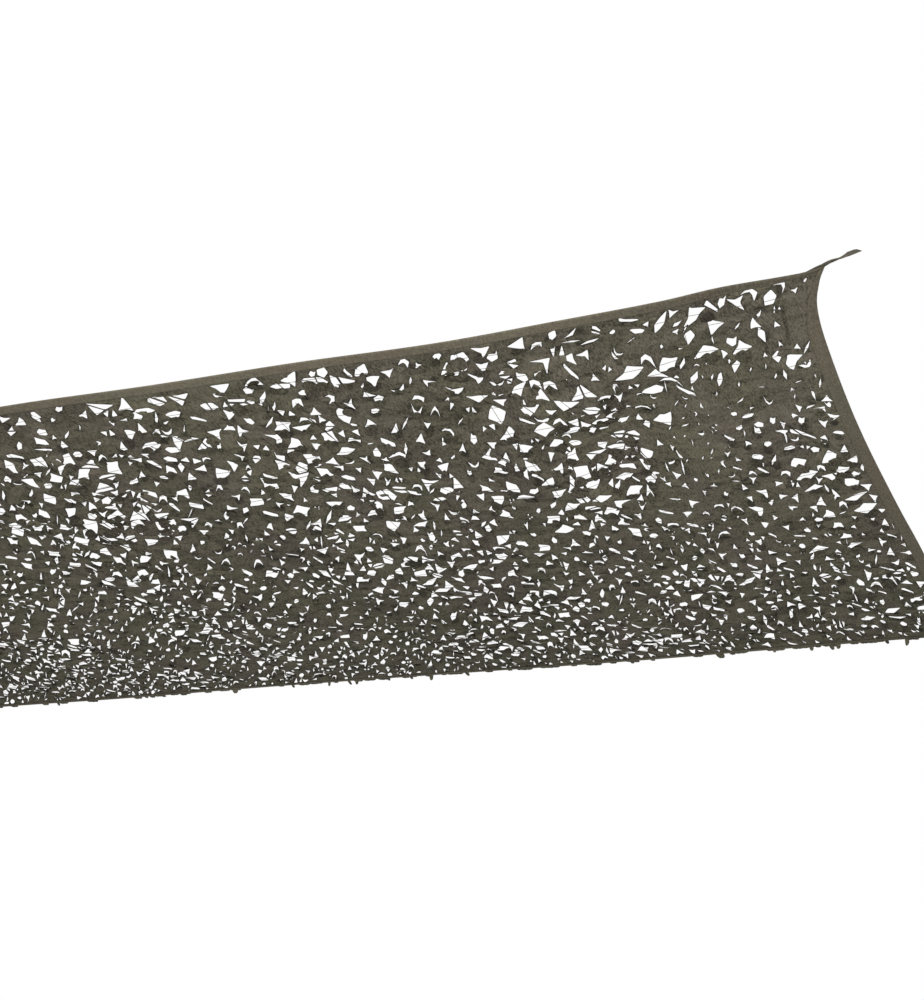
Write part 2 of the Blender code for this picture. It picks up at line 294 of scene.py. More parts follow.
    def corner_crease(self, u: float, v: float) -> float:
        """Gives the height of the fine creases that gather each corner.

        Args:
            u: metres along the sail.
            v: metres across it.

        Returns:
            The height there, small enough to stay under the strap.
        """
        corner_u, corner_v = self.from_edges(u, v)
        if corner_u + corner_v > self.crease_span:
            return 0.0
        total = self.fanned(self.fine_fans, corner_u, corner_v, 0.0)
        beyond_strap = math.hypot(corner_u, corner_v) - self.strap_reach
        return min(total, self.crease_room * soft_step(beyond_strap / self.crease_ease))

    def ruffle(self, u: float, v: float) -> float:
        """Gives the cloth's small unevenness, which dies out under the tape.

        Args:
            u: metres along the sail.
            v: metres across it.

        Returns:
            The height there, with the corner creases.
        """
        inside = min(self.from_edges(u, v))
        crease = self.corner_crease(u, v)
        fade = soft_step((inside - self.border) / self.ruffle_ease)
        if fade == 0.0:
            return crease
        small = noise.noise(Vector((u * self.ruffle_scale, v * self.ruffle_scale, 1.7)))
        wide = noise.noise(Vector((u * self.swell_scale, v * self.swell_scale, 5.3)))
        uneven = small * 2.0 * self.ruffle_height + wide * 2.0 * self.swell_height
        return fade * soft_limit(uneven, self.ruffle_limit) + crease

    def tape_at(self, end_distance: float) -> float:
        """Gives the tape's width at a distance from the nearer corner, toward which it narrows."""
        widening = soft_step(end_distance / self.tape_taper)
        return self.tape_end_width + (self.tape_width - self.tape_end_width) * widening

    def place(self, u: float, v: float, lift: float = 0.0) -> Vector:
        """Puts a point of the flat cut on the hung sail.

        Args:
            u: metres along the sail.
            v: metres across it.
            lift: metres above the cloth's middle.

        Returns:
            The point in the frame's metres.
        """
        share_u = u / self.length
        share_v = v / self.depth
        right = table_at(self.right_bow, share_v)
        left = table_at(self.left_bow, share_v)
        near = table_at(self.near_bow, share_u)
        far = table_at(self.far_bow, share_u)
        dish = 16.0 * share_u * (1.0 - share_u) * share_v * (1.0 - share_v)
        return Vector((
            self.corner[0] - (u + right * (1.0 - share_u) - left * share_u),
            self.corner[1] + v + near * (1.0 - share_v) - far * share_v,
            self.corner[2] + self.fold_height(u, v) - self.sag * dish + lift,
        ))


class Motif(Enum):
    """Outlines of the cuts: rings of (x, y) in hundredths.

    x points toward the right end and y toward the near edge.
    """

    PEAK = (((-78, -62), (0, -56), (80, -68), (42, 6), (8, 92), (-36, 12)),)
    FUNNEL = (((-86, 62), (0, 58), (82, 70), (38, -6), (-5, -92), (-42, -6)),)
    SLAB = (((-105, 10), (-60, 55), (48, 62), (105, 2), (60, -48), (-38, -60)),)
    GEM = (((-80, 10), (10, 88), (88, 20), (56, -70), (-56, -66)),)
    DIAMOND = (((-55, 0), (5, 98), (60, 28), (10, -98)),)
    DROP = (((-42, -95), (-50, -15), (0, 40), (52, 100), (40, 10), (6, -52)),)
    FLAG = (((-100, 50), (0, 46), (90, 72), (72, -10), (38, -98), (18, -6), (-30, 16)),)
    CROWN = (((-92, -80), (-76, 48), (0, 78), (86, 60), (98, -62), (58, -14), (10, 8), (-36, -16)),)
    ARCH = (((-100, -30), (-55, 42), (5, 62), (62, 20), (92, -62), (48, -2), (2, 22), (-50, 8)),)
    SMILE = (((-100, 58), (-55, -22), (10, -48), (66, -22), (100, 52), (54, 10), (0, -12), (-50, 12)),)
    HOOK = (((-72, 15), (-32, 78), (42, 72), (62, 10), (20, -98), (14, -10), (5, 32), (-36, 36)),)
    SLASH = (((-43, -100), (-22, -8), (43, 100), (24, 5)),)
    DASH = (((-100, 10), (0, 22), (100, -4), (10, -20)),)
    FORK = (((-90, 62), (-4, 36), (62, 86), (30, 0), (40, -90), (-26, -16)),)
    SPLIT = (((-56, 14), (5, 18), (60, 8), (12, 100)), ((-50, -14), (66, -20), (10, -95)))
    BESIDE = (((-100, 48), (-14, 56), (-50, -66)), ((14, -56), (98, -50), (50, 62)))
    SLAT = (((-100, 66), (-40, 46), (96, -34), (100, -74), (20, -46), (-92, 16)),)
    SLATS = (
        ((-100, 86), (-36, 80), (92, 8), (70, -16), (-86, 42)),
        ((-94, 14), (-10, -16), (60, -46), (100, -84), (24, -74), (-74, -20)),
    )
    CHIP = (((-62, -10), (-30, 64), (34, 42), (72, 74), (46, -34), (-18, -74)),)
    LITTER = (
        ((-80, 50), (-36, 68), (-46, 16)), ((8, -10), (54, 10), (30, -38)),
        ((-36, -74), (2, -52), (-6, -92)),
    )

    def __init__(self, *rings: tuple) -> None:
        """Turns its rings from hundredths into numbers."""
        self.rings = hundredths(rings)

    @property
    def area(self) -> float:
        """The area of all its rings."""
        return sum(ring_area(ring) for ring in self.rings)

    @property
    def slanted(self) -> bool:
        """Whether it always slopes the same way."""
        return self in (Motif.SLAT, Motif.SLATS, Motif.SLASH, Motif.DROP)


# Motifs by size: (largest area in square centimetres, (running share, motif) rows)
MOTIF_ODDS = (
    (1.8, (
        (0.32, Motif.SLASH), (0.46, Motif.DROP), (0.51, Motif.DASH), (0.64, Motif.PEAK),
        (0.69, Motif.DIAMOND), (0.76, Motif.FUNNEL), (0.82, Motif.SMILE), (0.87, Motif.HOOK),
        (0.92, Motif.ARCH), (1.0, Motif.LITTER),
    )),
    (5.0, (
        (0.2, Motif.PEAK), (0.32, Motif.FUNNEL), (0.42, Motif.DROP), (0.5, Motif.SLASH),
        (0.55, Motif.SMILE), (0.6, Motif.ARCH), (0.65, Motif.HOOK), (0.73, Motif.FORK), (0.77, Motif.SLAB),
        (0.83, Motif.BESIDE), (0.88, Motif.SPLIT), (0.95, Motif.CHIP), (1.0, Motif.SLAT),
    )),
    (11.0, (
        (0.18, Motif.PEAK), (0.32, Motif.FUNNEL), (0.39, Motif.SLAB), (0.46, Motif.GEM),
        (0.55, Motif.FLAG), (0.64, Motif.CROWN), (0.71, Motif.SPLIT), (0.76, Motif.BESIDE),
        (0.78, Motif.ARCH), (0.81, Motif.DIAMOND), (0.9, Motif.SLAT), (0.95, Motif.SLATS),
        (1.0, Motif.CHIP),
    )),
    (99.0, (
        (0.24, Motif.PEAK), (0.46, Motif.FUNNEL), (0.64, Motif.SLAB), (0.82, Motif.GEM),
        (0.9, Motif.CROWN), (1.0, Motif.FLAG),
    )),
)


def ring_area(ring: tuple | list) -> float:
    """Gives a ring's area, above 0 where its points run round to the left."""
    ring = list(ring)
    return abs(signed_area(ring))


def signed_area(ring: list) -> float:
    """Gives a ring's area, below 0 where its points run round to the right."""
    return 0.5 * sum(a[0] * b[1] - b[0] * a[1] for a, b in zip(ring, ring[1:] + ring[:1]))


def ring_middle(ring: list) -> Point:
    """Gives the mean of a ring's points."""
    return sum(p[0] for p in ring) / len(ring), sum(p[1] for p in ring) / len(ring)


def side_of(start: Point, end: Point, spot: Point) -> float:
    """Gives more than 0 where a spot lies left of the line from start to end."""
    return (end[0] - start[0]) * (spot[1] - start[1]) - (end[1] - start[1]) * (spot[0] - start[0])


def crosses_itself(ring: list) -> bool:
    """Says whether any two sides of a ring that don't touch cross each other.

    Args:
        ring: the ring.

    Returns:
        True where two of its sides cross.
    """
    count = len(ring)
    sides = list(zip(ring, ring[1:] + ring[:1]))
    for first in range(count - 2):
        start, end = sides[first]
        for second in range(first + 2, count - (first == 0)):
            other_start, other_end = sides[second]
            if side_of(start, end, other_start) * side_of(start, end, other_end) < 0.0:
                if side_of(other_start, other_end, start) * side_of(other_start, other_end, end) < 0.0:
                    return True
    return False


def rounded(ring: list, share: float) -> list:
    """Cuts off every corner of a ring at a share of its sides.

    Args:
        ring: the ring.
        share: how much of a side is cut off at each of its ends.

    Returns:
        The new ring.
    """
    found = []
    for start, end in zip(ring, ring[1:] + ring[:1]):
        for part in (share, 1.0 - share):
            found.append((start[0] + (end[0] - start[0]) * part, start[1] + (end[1] - start[1]) * part))
    return found


def clipped(ring: list, anchor: Point, normal: Point, gap: float) -> list:
    """Keeps the part of a ring that lies beyond a line.

    Args:
        ring: the ring.
        anchor: a point of the line.
        normal: the line's unit normal, which points to the part that is kept.
        gap: how far beyond the line the kept part starts.

    Returns:
        The kept part's ring.
    """
    found = []
    depths = [(u - anchor[0]) * normal[0] + (v - anchor[1]) * normal[1] - gap for u, v in ring]
    for index, (here, depth) in enumerate(zip(ring, depths)):
        after = ring[(index + 1) % len(ring)]
        depth_after = depths[(index + 1) % len(ring)]
        if depth > 0.0:
            found.append(here)
        if depth * depth_after < 0.0:
            share = depth / (depth - depth_after)
            found.append((here[0] + (after[0] - here[0]) * share, here[1] + (after[1] - here[1]) * share))
    return found


@dataclass
class Hole:
    """One hole of the cloth: its ring of points on the flat cut, how its rim tilts, and its own tone."""

    ring: list
    tilt: Point
    tone: float
    key: Key
    most_lift: float = 0.006
    inward_turn: float = -0.3

    def __post_init__(self) -> None:
        """Turns the ring to the left and notes its middle and area."""
        if signed_area(self.ring) < 0.0:
            self.ring = self.ring[::-1]
        self.middle = ring_middle(self.ring)
        self.area = signed_area(self.ring)
        self.placed = self.key.use == PLACED

    def outline(self, reach: float) -> list:
        """Gives the ring moved outward, without the corners that point sharply inward.

        Args:
            reach: how far outward.

        Returns:
            The outline's points.
        """
        ring = self.ring
        found = []
        for before, here, after in zip(ring[-1:] + ring[:-1], ring, ring[1:] + ring[:1]):
            first = (here[0] - before[0], here[1] - before[1])
            second = (after[0] - here[0], after[1] - here[1])
            first_size = math.hypot(*first)
            second_size = math.hypot(*second)
            turn = (first[0] * second[1] - first[1] * second[0]) / max(first_size * second_size, TINY)
            if turn < self.inward_turn:
                continue
            way = (
                first[1] / max(first_size, TINY) + second[1] / max(second_size, TINY),
                -first[0] / max(first_size, TINY) - second[0] / max(second_size, TINY),
            )
            length = max(math.hypot(*way), TINY)
            found.append((here[0] + way[0] * reach / length, here[1] + way[1] * reach / length))
        return found

    def lift_at(self, u: float, v: float) -> float:
        """The rim's height above the cloth at a point, from its tilt."""
        lift = (u - self.middle[0]) * self.tilt[0] + (v - self.middle[1]) * self.tilt[1]
        return soft_limit(lift, self.most_lift)


class CutMap:
    """The flat cut as fine squares, each taken once the cloth there is cut or must stay whole."""

    def __init__(self, shape: HungShape, under_tape: float, square: float = 0.003) -> None:
        """Starts with only the strips under the tape taken.

        Args:
            shape: the sail's shape, for its size and its tape's width.
            under_tape: how far a cut may run under the tape.
            square: the squares' side.
        """
        self.square = square
        self.taken = np.zeros((int(shape.length / square) + 2, int(shape.depth / square) + 2), dtype=bool)
        for squares, length in ((self.taken, shape.length), (self.taken.T, shape.depth)):
            for index, line in enumerate(squares):
                end = min(index * square, max(length - index * square, 0.0))
                reach = int((shape.tape_at(end) - under_tape) / square) + 1
                line[:reach] = True
                line[-reach - 1:] = True

    def free(self, ring: list) -> bool:
        """Says whether a ring's points and the middles of its sides are free.

        Args:
            ring: the ring.

        Returns:
            True where none of these squares is taken.
        """
        for (u0, v0), (u1, v1) in zip(ring, ring[1:] + ring[:1]):
            for share in (0.0, 0.5):
                column = int((u0 + (u1 - u0) * share) / self.square)
                row = int((v0 + (v1 - v0) * share) / self.square)
                if column < 0 or row < 0 or column >= self.taken.shape[0] or row >= self.taken.shape[1]:
                    return False
                if self.taken[column, row]:
                    return False
        return True

    def take(self, ring: list, gap: float) -> None:
        """Takes every square inside a ring or within a gap of it.

        Args:
            ring: the ring.
            gap: the strip of cloth that stays whole round it.
        """
        points = np.array(ring)
        low = np.maximum(((points.min(axis=0) - gap) / self.square).astype(int), 0)
        high = ((points.max(axis=0) + gap) / self.square).astype(int) + 1
        high = np.minimum(high, np.array(self.taken.shape) - 1)
        spots_u = (np.arange(low[0], high[0] + 1) + 0.5)[:, None] * self.square
        spots_v = (np.arange(low[1], high[1] + 1) + 0.5)[None, :] * self.square
        inside = np.zeros((spots_u.shape[0], spots_v.shape[1]), dtype=bool)
        close = inside.copy()
        for (u0, v0), (u1, v1) in zip(ring, ring[1:] + ring[:1]):
            run_u = u1 - u0
            run_v = v1 - v0
            length_squared = max(run_u * run_u + run_v * run_v, 1e-12)
            share = ((spots_u - u0) * run_u + (spots_v - v0) * run_v) / length_squared
            share = np.clip(share, 0.0, 1.0)
            close |= np.hypot(spots_u - u0 - run_u * share, spots_v - v0 - run_v * share) < gap
            if v0 != v1:
                crossing = (v0 > spots_v) != (v1 > spots_v)
                inside ^= crossing & (spots_u < u0 + run_u * (spots_v - v0) / run_v)
        self.taken[low[0]:high[0] + 1, low[1]:high[1] + 1] |= inside | close


@dataclass(frozen=True)
class LeafPattern:
    """Where the leaves are cut and how wide each one stands open."""

    shape: HungShape
    columns: int = 48
    rows: int = 29
    inset: float = 0.004
    jitter: float = 0.028
    openings: int = 300
    opening_long: float = 0.325
    opening_wide: float = 0.21
    slant: float = 62.0
    turn: float = 36.0
    drift: float = 0.12
    smallest: float = 0.74
    reach_spread: float = 0.36
    margin: float = 0.09
    pinch_choices: float = 6.0
    pinched: float = 0.35
    patch_luck: float = 0.75
    kept_whole: float = 0.30
    strut: float = 0.0050
    tilt_slope: float = 0.19
    site_drift: float = 0.030
    under_tape: float = 0.003
    base_area: float = 5.8
    patch_area: float = 17.0
    size_spread: float = 0.74
    extra_share: float = 0.14
    near_gain: float = 1.5
    jog: float = 0.22
    turn_spread: float = 1.3
    least_round: float = 6.0
    corner_share: float = 0.10
    least_shards: float = 15.0
    shard_gap: float = 0.0020
    least_shard: float = 0.8e-4
    widest: float = 38.0
    most_open: float = 1.4
    thinner: float = 0.40
    tries: int = 9
    shrink: float = 0.84
    smallest_try: float = 0.3
    least_cut: float = 0.35
    most_shut: float = 0.85
    near_size: float = 0.95
    far_size: float = 0.06
    corner_slope: float = 0.35
    corner_kept: float = 0.15

    # The point added to each side of a widest opening: how far out, how often inward, and where it lies
    side_bow: float = 0.16
    inward_share: float = 0.60
    bow_place: Point = (0.38, 0.24)

    # The small cuts on the cells' sides: where they lie, their size, and what makes them likely
    edge_shift: float = 0.012
    side_place: float = 0.02
    extra_gain: float = 0.42
    far_extra: float = 0.13
    far_right: float = 0.4
    far_left: float = 0.2
    open_extra: float = 0.45
    slit_extra: float = 1.3

    # How a motif is laid: spans are (least, how much more at most), areas in square centimetres
    small_stretch: float = 0.92
    wide_loss: float = 0.30
    wide_area: float = 14.0
    widths: Point = (0.80, 0.42)
    mirror_share: float = 0.4
    calm_area: float = 8.0
    motif_bow: float = 0.5
    bow_rest: float = 0.4
    strays: tuple = (1.0, 0.5, 0.0)
    two_strips: float = 24.0
    strip_turn: float = 0.7
    strip_gaps: Point = (0.7, 0.9)
    tilts: Point = (0.3, 0.7)

    # How the leaves' ways turn over the cloth, as factors of 1, u and v, or of 1, u and u times v
    right_turn: tuple = (0.36, -0.04, 0.03)
    near_turn: tuple = (-0.02, -0.265, 0.03)

    # The same left of a place on the near edge, as factors of 1 and v
    left_part: float = 3.2
    left_turn: tuple = (-0.87, 0.1)

    # How many times longer the cloth lies along a leaf than across it, as factors of 1, v and u times v
    stretch: tuple = (1.75, 0.62, 0.17)

    shifts: tuple = ((0.0, 0.0), (0.012, 0.0), (-0.012, 0.0), (0.0, 0.016), (0.0, -0.016))

    # Where the widest openings gather, in hundredths: (u, v, radius along u, radius along v, gain)
    patches: tuple = hundredths((
        (87, 92, 24, 22, 100), (89, 52, 15, 24, 70), (98, 131, 14, 18, 60), (167, 95, 16, 18, 70),
        (149, 45, 18, 16, 50), (203, 51, 20, 20, 60), (264, 92, 28, 22, 100), (245, 41, 20, 24, 70),
        (293, 66, 18, 30, 70), (286, 129, 16, 20, 70), (175, 158, 38, 14, 60), (20, 150, 14, 30, 60),
        (372, 158, 24, 20, 50), (372, 218, 24, 20, 60), (290, 210, 24, 18, 50), (146, 214, 22, 18, 60),
        (82, 210, 20, 16, 50), (194, 258, 18, 20, 60), (124, 274, 20, 14, 50), (347, 272, 30, 16, 50),
        (28, 260, 16, 20, 50), (430, 255, 26, 22, 60), (435, 120, 26, 26, 80), (385, 50, 30, 22, 70),
        (460, 45, 16, 18, 40), (30, 28, 16, 12, 50),
    ))

    # Where the other leaves stand open, read off the photographed folds: rows as above
    open_spots: tuple = hundredths((
        (78, 40, 11, 14, 80), (70, 80, 11, 14, 130), (84, 90, 12, 8, 120), (100, 72, 7, 14, 90),
        (87, 118, 7, 12, 70), (133, 135, 14, 12, 50), (130, 86, 8, 18, 40), (145, 35, 8, 14, 60),
        (142, 7, 14, 6, 80), (195, 8, 14, 6, 60), (157, 82, 9, 9, 120), (166, 55, 6, 16, 90),
        (200, 38, 14, 11, 80), (237, 45, 9, 18, 100), (238, 75, 10, 14, 130), (252, 89, 12, 8, 130),
        (276, 70, 10, 12, 120), (272, 112, 9, 14, 110), (175, 140, 26, 7, 70), (170, 168, 13, 10, 50),
        (185, 102, 10, 14, 40), (12, 128, 8, 10, 30), (24, 74, 7, 12, 50), (28, 6, 10, 6, 50),
        (75, 198, 16, 9, 80), (135, 200, 12, 18, 50), (142, 242, 14, 9, 60), (112, 268, 12, 12, 60),
        (138, 283, 10, 7, 60), (190, 243, 8, 12, 110), (177, 262, 9, 9, 90), (275, 192, 20, 9, 80),
        (293, 153, 8, 7, 60), (327, 135, 9, 13, 60), (362, 205, 15, 14, 80), (382, 184, 12, 10, 60),
        (388, 238, 10, 13, 100), (368, 248, 9, 10, 80), (342, 268, 12, 11, 100), (385, 283, 10, 7, 80),
        (436, 266, 12, 10, 100), (280, 238, 10, 13, 60), (15, 217, 13, 7, 70), (288, 278, 6, 10, 60),
        (435, 120, 26, 26, 60), (360, 60, 20, 14, 80), (440, 40, 14, 12, 60), (74, 22, 7, 12, 60),
        (68, 50, 7, 16, 60), (99, 18, 8, 8, 80), (124, 11, 8, 7, 70), (176, 10, 5, 10, 80),
        (248, 80, 8, 10, 50), (287, 172, 14, 12, 50),
    ))

    # Where they lie nearly shut: rows as above
    shut_spots: tuple = hundredths((
        (22, 53, 22, 10, 80), (47, 95, 10, 40, 60), (110, 40, 8, 12, 70), (112, 12, 10, 8, 70),
        (112, 105, 7, 26, 70), (176, 85, 4, 16, 70), (218, 32, 6, 30, 70), (216, 114, 8, 14, 70),
        (208, 185, 8, 36, 80), (210, 262, 8, 15, 85), (115, 222, 8, 15, 80), (86, 268, 8, 20, 80),
        (15, 175, 14, 13, 70), (334, 218, 12, 13, 85), (312, 268, 9, 17, 85), (312, 150, 12, 14, 50),
        (180, 292, 24, 8, 60), (30, 292, 20, 8, 50), (30, 26, 36, 26, 80), (90, 66, 6, 10, 60),
        (258, 62, 7, 12, 70),
    ))

    # Where many short slits lie close together: rows as above
    slit_spots: tuple = hundredths(((40, 70, 30, 28, 50), (145, 110, 25, 20, 35), (80, 160, 40, 16, 30)))

    # The near right corner's own cuts: (u, v, area in square centimetres, motif, turn)
    placed: tuple = (
        (0.12, 0.08, 14.0, Motif.GEM, 0.0), (0.1, 0.04, 3.0, Motif.ARCH, -0.5),
        (0.06, 0.07, 2.0, Motif.PEAK, -0.5), (0.17, 0.04, 8.0, Motif.HOOK, 0.4),
        (0.2, 0.08, 8.0, Motif.FORK, 0.3), (0.24, 0.05, 5.5, Motif.CHIP, 0.2),
        (0.28, 0.09, 20.0, Motif.GEM, 0.2), (0.32, 0.06, 11.0, Motif.CROWN, 0.1),
        (0.4, 0.08, 13.0, Motif.DROP, 0.0), (0.26, 0.17, 16.0, Motif.FUNNEL, -0.2),
        (0.3, 0.13, 5.0, Motif.ARCH, 0.0), (0.34, 0.12, 4.5, Motif.DROP, -0.2),
        (0.33, 0.19, 11.0, Motif.DIAMOND, -0.2), (0.3, 0.26, 12.0, Motif.DROP, 0.1),
        (0.3, 0.34, 5.0, Motif.GEM, 0.6), (0.16, 0.19, 7.0, Motif.PEAK, 0.3),
        (0.15, 0.26, 9.5, Motif.DIAMOND, 0.3), (0.2, 0.3, 18.0, Motif.GEM, -0.2),
        (0.23, 0.27, 8.0, Motif.CHIP, 0.1), (0.25, 0.33, 4.0, Motif.FUNNEL, -0.4),
        (0.24, 0.38, 9.0, Motif.DROP, 0.0), (0.3, 0.45, 7.0, Motif.DROP, 0.0),
        (0.12, 0.38, 10.0, Motif.DIAMOND, -0.2), (0.46, 0.36, 19.0, Motif.PEAK, 0.0),
        (0.37, 0.43, 7.0, Motif.DROP, -0.2), (0.46, 0.27, 8.0, Motif.HOOK, 0.6),
        (0.46, 0.12, 8.0, Motif.SLAB, 0.1), (0.64, 0.12, 3.5, Motif.DASH, 0.2),
        (0.66, 0.2, 10.0, Motif.PEAK, -0.2), (0.04, 0.68, 6.0, Motif.PEAK, -0.1),
        (0.04, 0.37, 4.0, Motif.SLASH, 0.0), (0.08, 0.46, 4.0, Motif.SMILE, 0.5),
        (0.5, 0.48, 17.0, Motif.SLAB, 0.3), (0.41, 0.5, 7.0, Motif.SLAT, 0.0),
        (0.44, 0.44, 7.0, Motif.ARCH, 0.0), (0.04, 0.02, 0.9, Motif.GEM, 0.0),
        (0.13, 0.49, 3.0, Motif.SLASH, 0.4), (0.54, 0.24, 4.0, Motif.SLAT, -0.3),
        (0.38, 0.34, 4.0, Motif.SLASH, 0.0), (0.26, 0.76, 9.0, Motif.GEM, 0.0),
        (0.22, 0.76, 5.0, Motif.CHIP, 0.0), (0.16, 0.88, 14.0, Motif.SLAT, 0.1),
    )

    def line(self, index: int, cells: int, length: float) -> float:
        """Gives one grid line's distance: narrow strips at both ends, even between them.

        Args:
            index: which line.
            cells: how many cells the side has.
            length: the side's length.

        Returns:
            The line's distance from the side's start.
        """
        if index == 0:
            return self.inset
        if index == cells:
            return length - self.inset
        pitch = (length - 2.0 * self.shape.border) / (cells - 2)
        return self.shape.border + (index - 1) * pitch

    def grid_point(self, column: int, row: int) -> Point:
        """Gives a grid point on the flat cut; those inside the cloth stray from their lines.

        Args:
            column: which line along the sail.
            row: which line across it.

        Returns:
            The point.
        """
        cell = Key(column, row, 0)
        u = self.line(column, self.columns, self.shape.length)
        v = self.line(row, self.rows, self.shape.depth)
        if 1 < column < self.columns - 1 and 1 < row < self.rows - 1:
            u += cell.astray(self.jitter, 11)
            v += cell.astray(self.jitter, 12)
        return u, v

    def cell_point(self, column: int, row: int, share_u: float, share_v: float) -> Point:
        """Gives a point of a cell, at shares of its sides.

        Args:
            column: its column.
            row: its row.
            share_u: the share along the sail.
            share_v: the share across it.

        Returns:
            The flat point.
        """
        u = 0.0
        v = 0.0
        for side_u, weight_u in ((0, 1.0 - share_u), (1, share_u)):
            for side_v, weight_v in ((0, 1.0 - share_v), (1, share_v)):
                point = self.grid_point(column + side_u, row + side_v)
                u += point[0] * weight_u * weight_v
                v += point[1] * weight_u * weight_v
        return u, v

    def ways(self, u: float, v: float) -> tuple:
        """Gives a leaf's own directions on the flat cut at a point.

        The net hangs in folds that fan out from the near right corner, so its leaves turn with them.

        Args:
            u: metres along the sail.
            v: metres across it.

        Returns:
            The way toward the right end, the way toward the near edge, and how many times longer the
            cloth lies along the second than along the first.
        """
        right = Vector((-1.0, self.right_turn[0] + self.right_turn[1] * u + self.right_turn[2] * v))
        if u < self.left_part:
            slope = self.near_turn[0] + self.near_turn[1] * u + self.near_turn[2] * u * v
        else:
            slope = self.left_turn[0] + self.left_turn[1] * v
        near = Vector((slope, -1.0))
        longer = self.stretch[0] + self.stretch[1] * v + self.stretch[2] * u * v
        return right.normalized(), near.normalized(), longer

    def reach(self, table: tuple, u: float, v: float) -> float:
        """Adds up a table's round patches at a point.

        Args:
            table: rows of (u, v, radius along u, radius along v, gain).
            u: metres along the sail.
            v: metres across it.

        Returns:
            The sum of the patches' gains there.
        """
        total = 0.0
        for centre_u, centre_v, radius_u, radius_v, gain in table:
            total += gain * math.exp(-((u - centre_u) / radius_u) ** 2 - ((v - centre_v) / radius_v) ** 2)
        return total

    def chosen_cells(self) -> set:
        """Picks the cells that hold one of the widest openings.

        Returns:
            Their columns and rows.
        """
        ranked = []
        for column in range(1, self.columns - 1):
            for row in range(1, self.rows - 1):
                u, v = self.cell_point(column, row, 0.5, 0.5)
                if sum(self.shape.from_edges(u, v)) < self.kept_whole:
                    continue
                score = self.reach(self.patches, u, v) + self.patch_luck * chance(column, row, 1)
                ranked.append((score, column, row))
        ranked.sort(reverse=True)
        return {(column, row) for _, column, row in ranked[:self.openings]}

    def opening_share(self, column: int, row: int, side_u: float, side_v: float) -> Point:
        """Gives one corner of a cell's widest opening, as shares of the cell's sides.

        Args:
            column: its column.
            row: its row.
            side_u: 1 or -1, for which of its corners along the sail.
            side_v: the same across it.

        Returns:
            The two shares.
        """
        cell = Key(column, row, 0)
        index = (0 if side_u < 0 else 1) + (0 if side_v < 0 else 2)
        reach = self.smallest + self.reach_spread * cell.luck(4 + index)
        if index == int(cell.luck(3) * self.pinch_choices):
            reach *= self.pinched
        along = side_v * reach * self.opening_long
        across = -side_u * reach * self.opening_wide
        turn = math.radians(self.slant + cell.astray(self.turn, 2))
        shares = []
        for offset, use in (
            (along * math.cos(turn) - across * math.sin(turn), 13),
            (along * math.sin(turn) + across * math.cos(turn), 14),
        ):
            share = 0.5 + cell.astray(self.drift, use) + offset
            shares.append(min(max(share, self.margin), 1.0 - self.margin))
        return shares[0], shares[1]

    def bow_sides(self, corners: list, cell: Key) -> list:
        """Adds a point to the middle of every side, a little inward or outward.

        Args:
            corners: the opening's corners.
            cell: the cell's own run of chance.

        Returns:
            The ring.
        """
        ring = []
        for index, corner in enumerate(corners):
            after = corners[(index + 1) % len(corners)]
            bow = self.side_bow * (cell.luck(70 + index) - self.inward_share)
            share = cell.drawn(self.bow_place, 75 + index)
            run_u = after[0] - corner[0]
            run_v = after[1] - corner[1]
            ring.append(corner)
            ring.append((corner[0] + run_u * share + run_v * bow, corner[1] + run_v * share - run_u * bow))
        return ring

    def sites(self, chosen: set) -> list:
        """Lists where ordinary holes go: the middles of the cells left over, and the cells' corners.

        Args:
            chosen: the cells that hold one of the widest openings.

        Returns:
            The sites, the widest first.
        """
        found = []
        for column in range(1, self.columns):
            for row in range(1, self.rows):
                inner_column = column < self.columns - 1
                inner_row = row < self.rows - 1
                if inner_column and inner_row and (column, row) not in chosen:
                    found.append(self.site(Key(column, row, MIDDLE), self.cell_point(column, row, 0.5, 0.5)))
                u, v = self.grid_point(column, row)
                inward_u = self.edge_shift * ((column == 1) - (not inner_column))
                inward_v = self.edge_shift * ((row == 1) - (not inner_row))
                gain = self.near_gain if row == 1 else 1.0
                found.append(self.site(Key(column, row, CROSSING), (u + inward_u, v + inward_v), gain))
                if not (inner_column and inner_row):
                    continue
                place = self.side_place
                for shares, use in (((0.5, place), LOW_SIDE), ((place, 0.5), RIGHT_SIDE)):
                    key = Key(column, row, use)
                    spot = self.cell_point(column, row, *shares)
                    far = self.far_extra * v * (self.far_right + self.far_left * u)
                    odds = self.extra_share + far + self.open_extra * self.openness(*spot)
                    odds += self.slit_extra * self.reach(self.slit_spots, *spot)
                    if key.luck(18) < odds:
                        found.append(self.site(key, spot, self.extra_gain))
        return sorted(found, reverse=True)

    def site(self, key: Key, spot: Point, gain: float = 1.0) -> Site:
        """Gives one ordinary hole's area and place.

        Args:
            key: the hole's own run of chance.
            spot: where it lies before it drifts.
            gain: how much wider than usual its kind is.

        Returns:
            The site.
        """
        u = spot[0] + key.astray(self.site_drift, 0)
        v = spot[1] + key.astray(self.site_drift, 1)
        shut = self.reach(self.shut_spots, u, v) + self.reach(self.slit_spots, u, v)
        area = (self.base_area + self.patch_area * self.openness(u, v)) * (1.0 - min(shut, self.most_shut))
        area *= gain
        area *= self.near_size + self.far_size * v
        area *= math.exp(self.size_spread * key.spread(2))
        return Site(min(max(area, self.least_cut), self.widest), u, v, key)

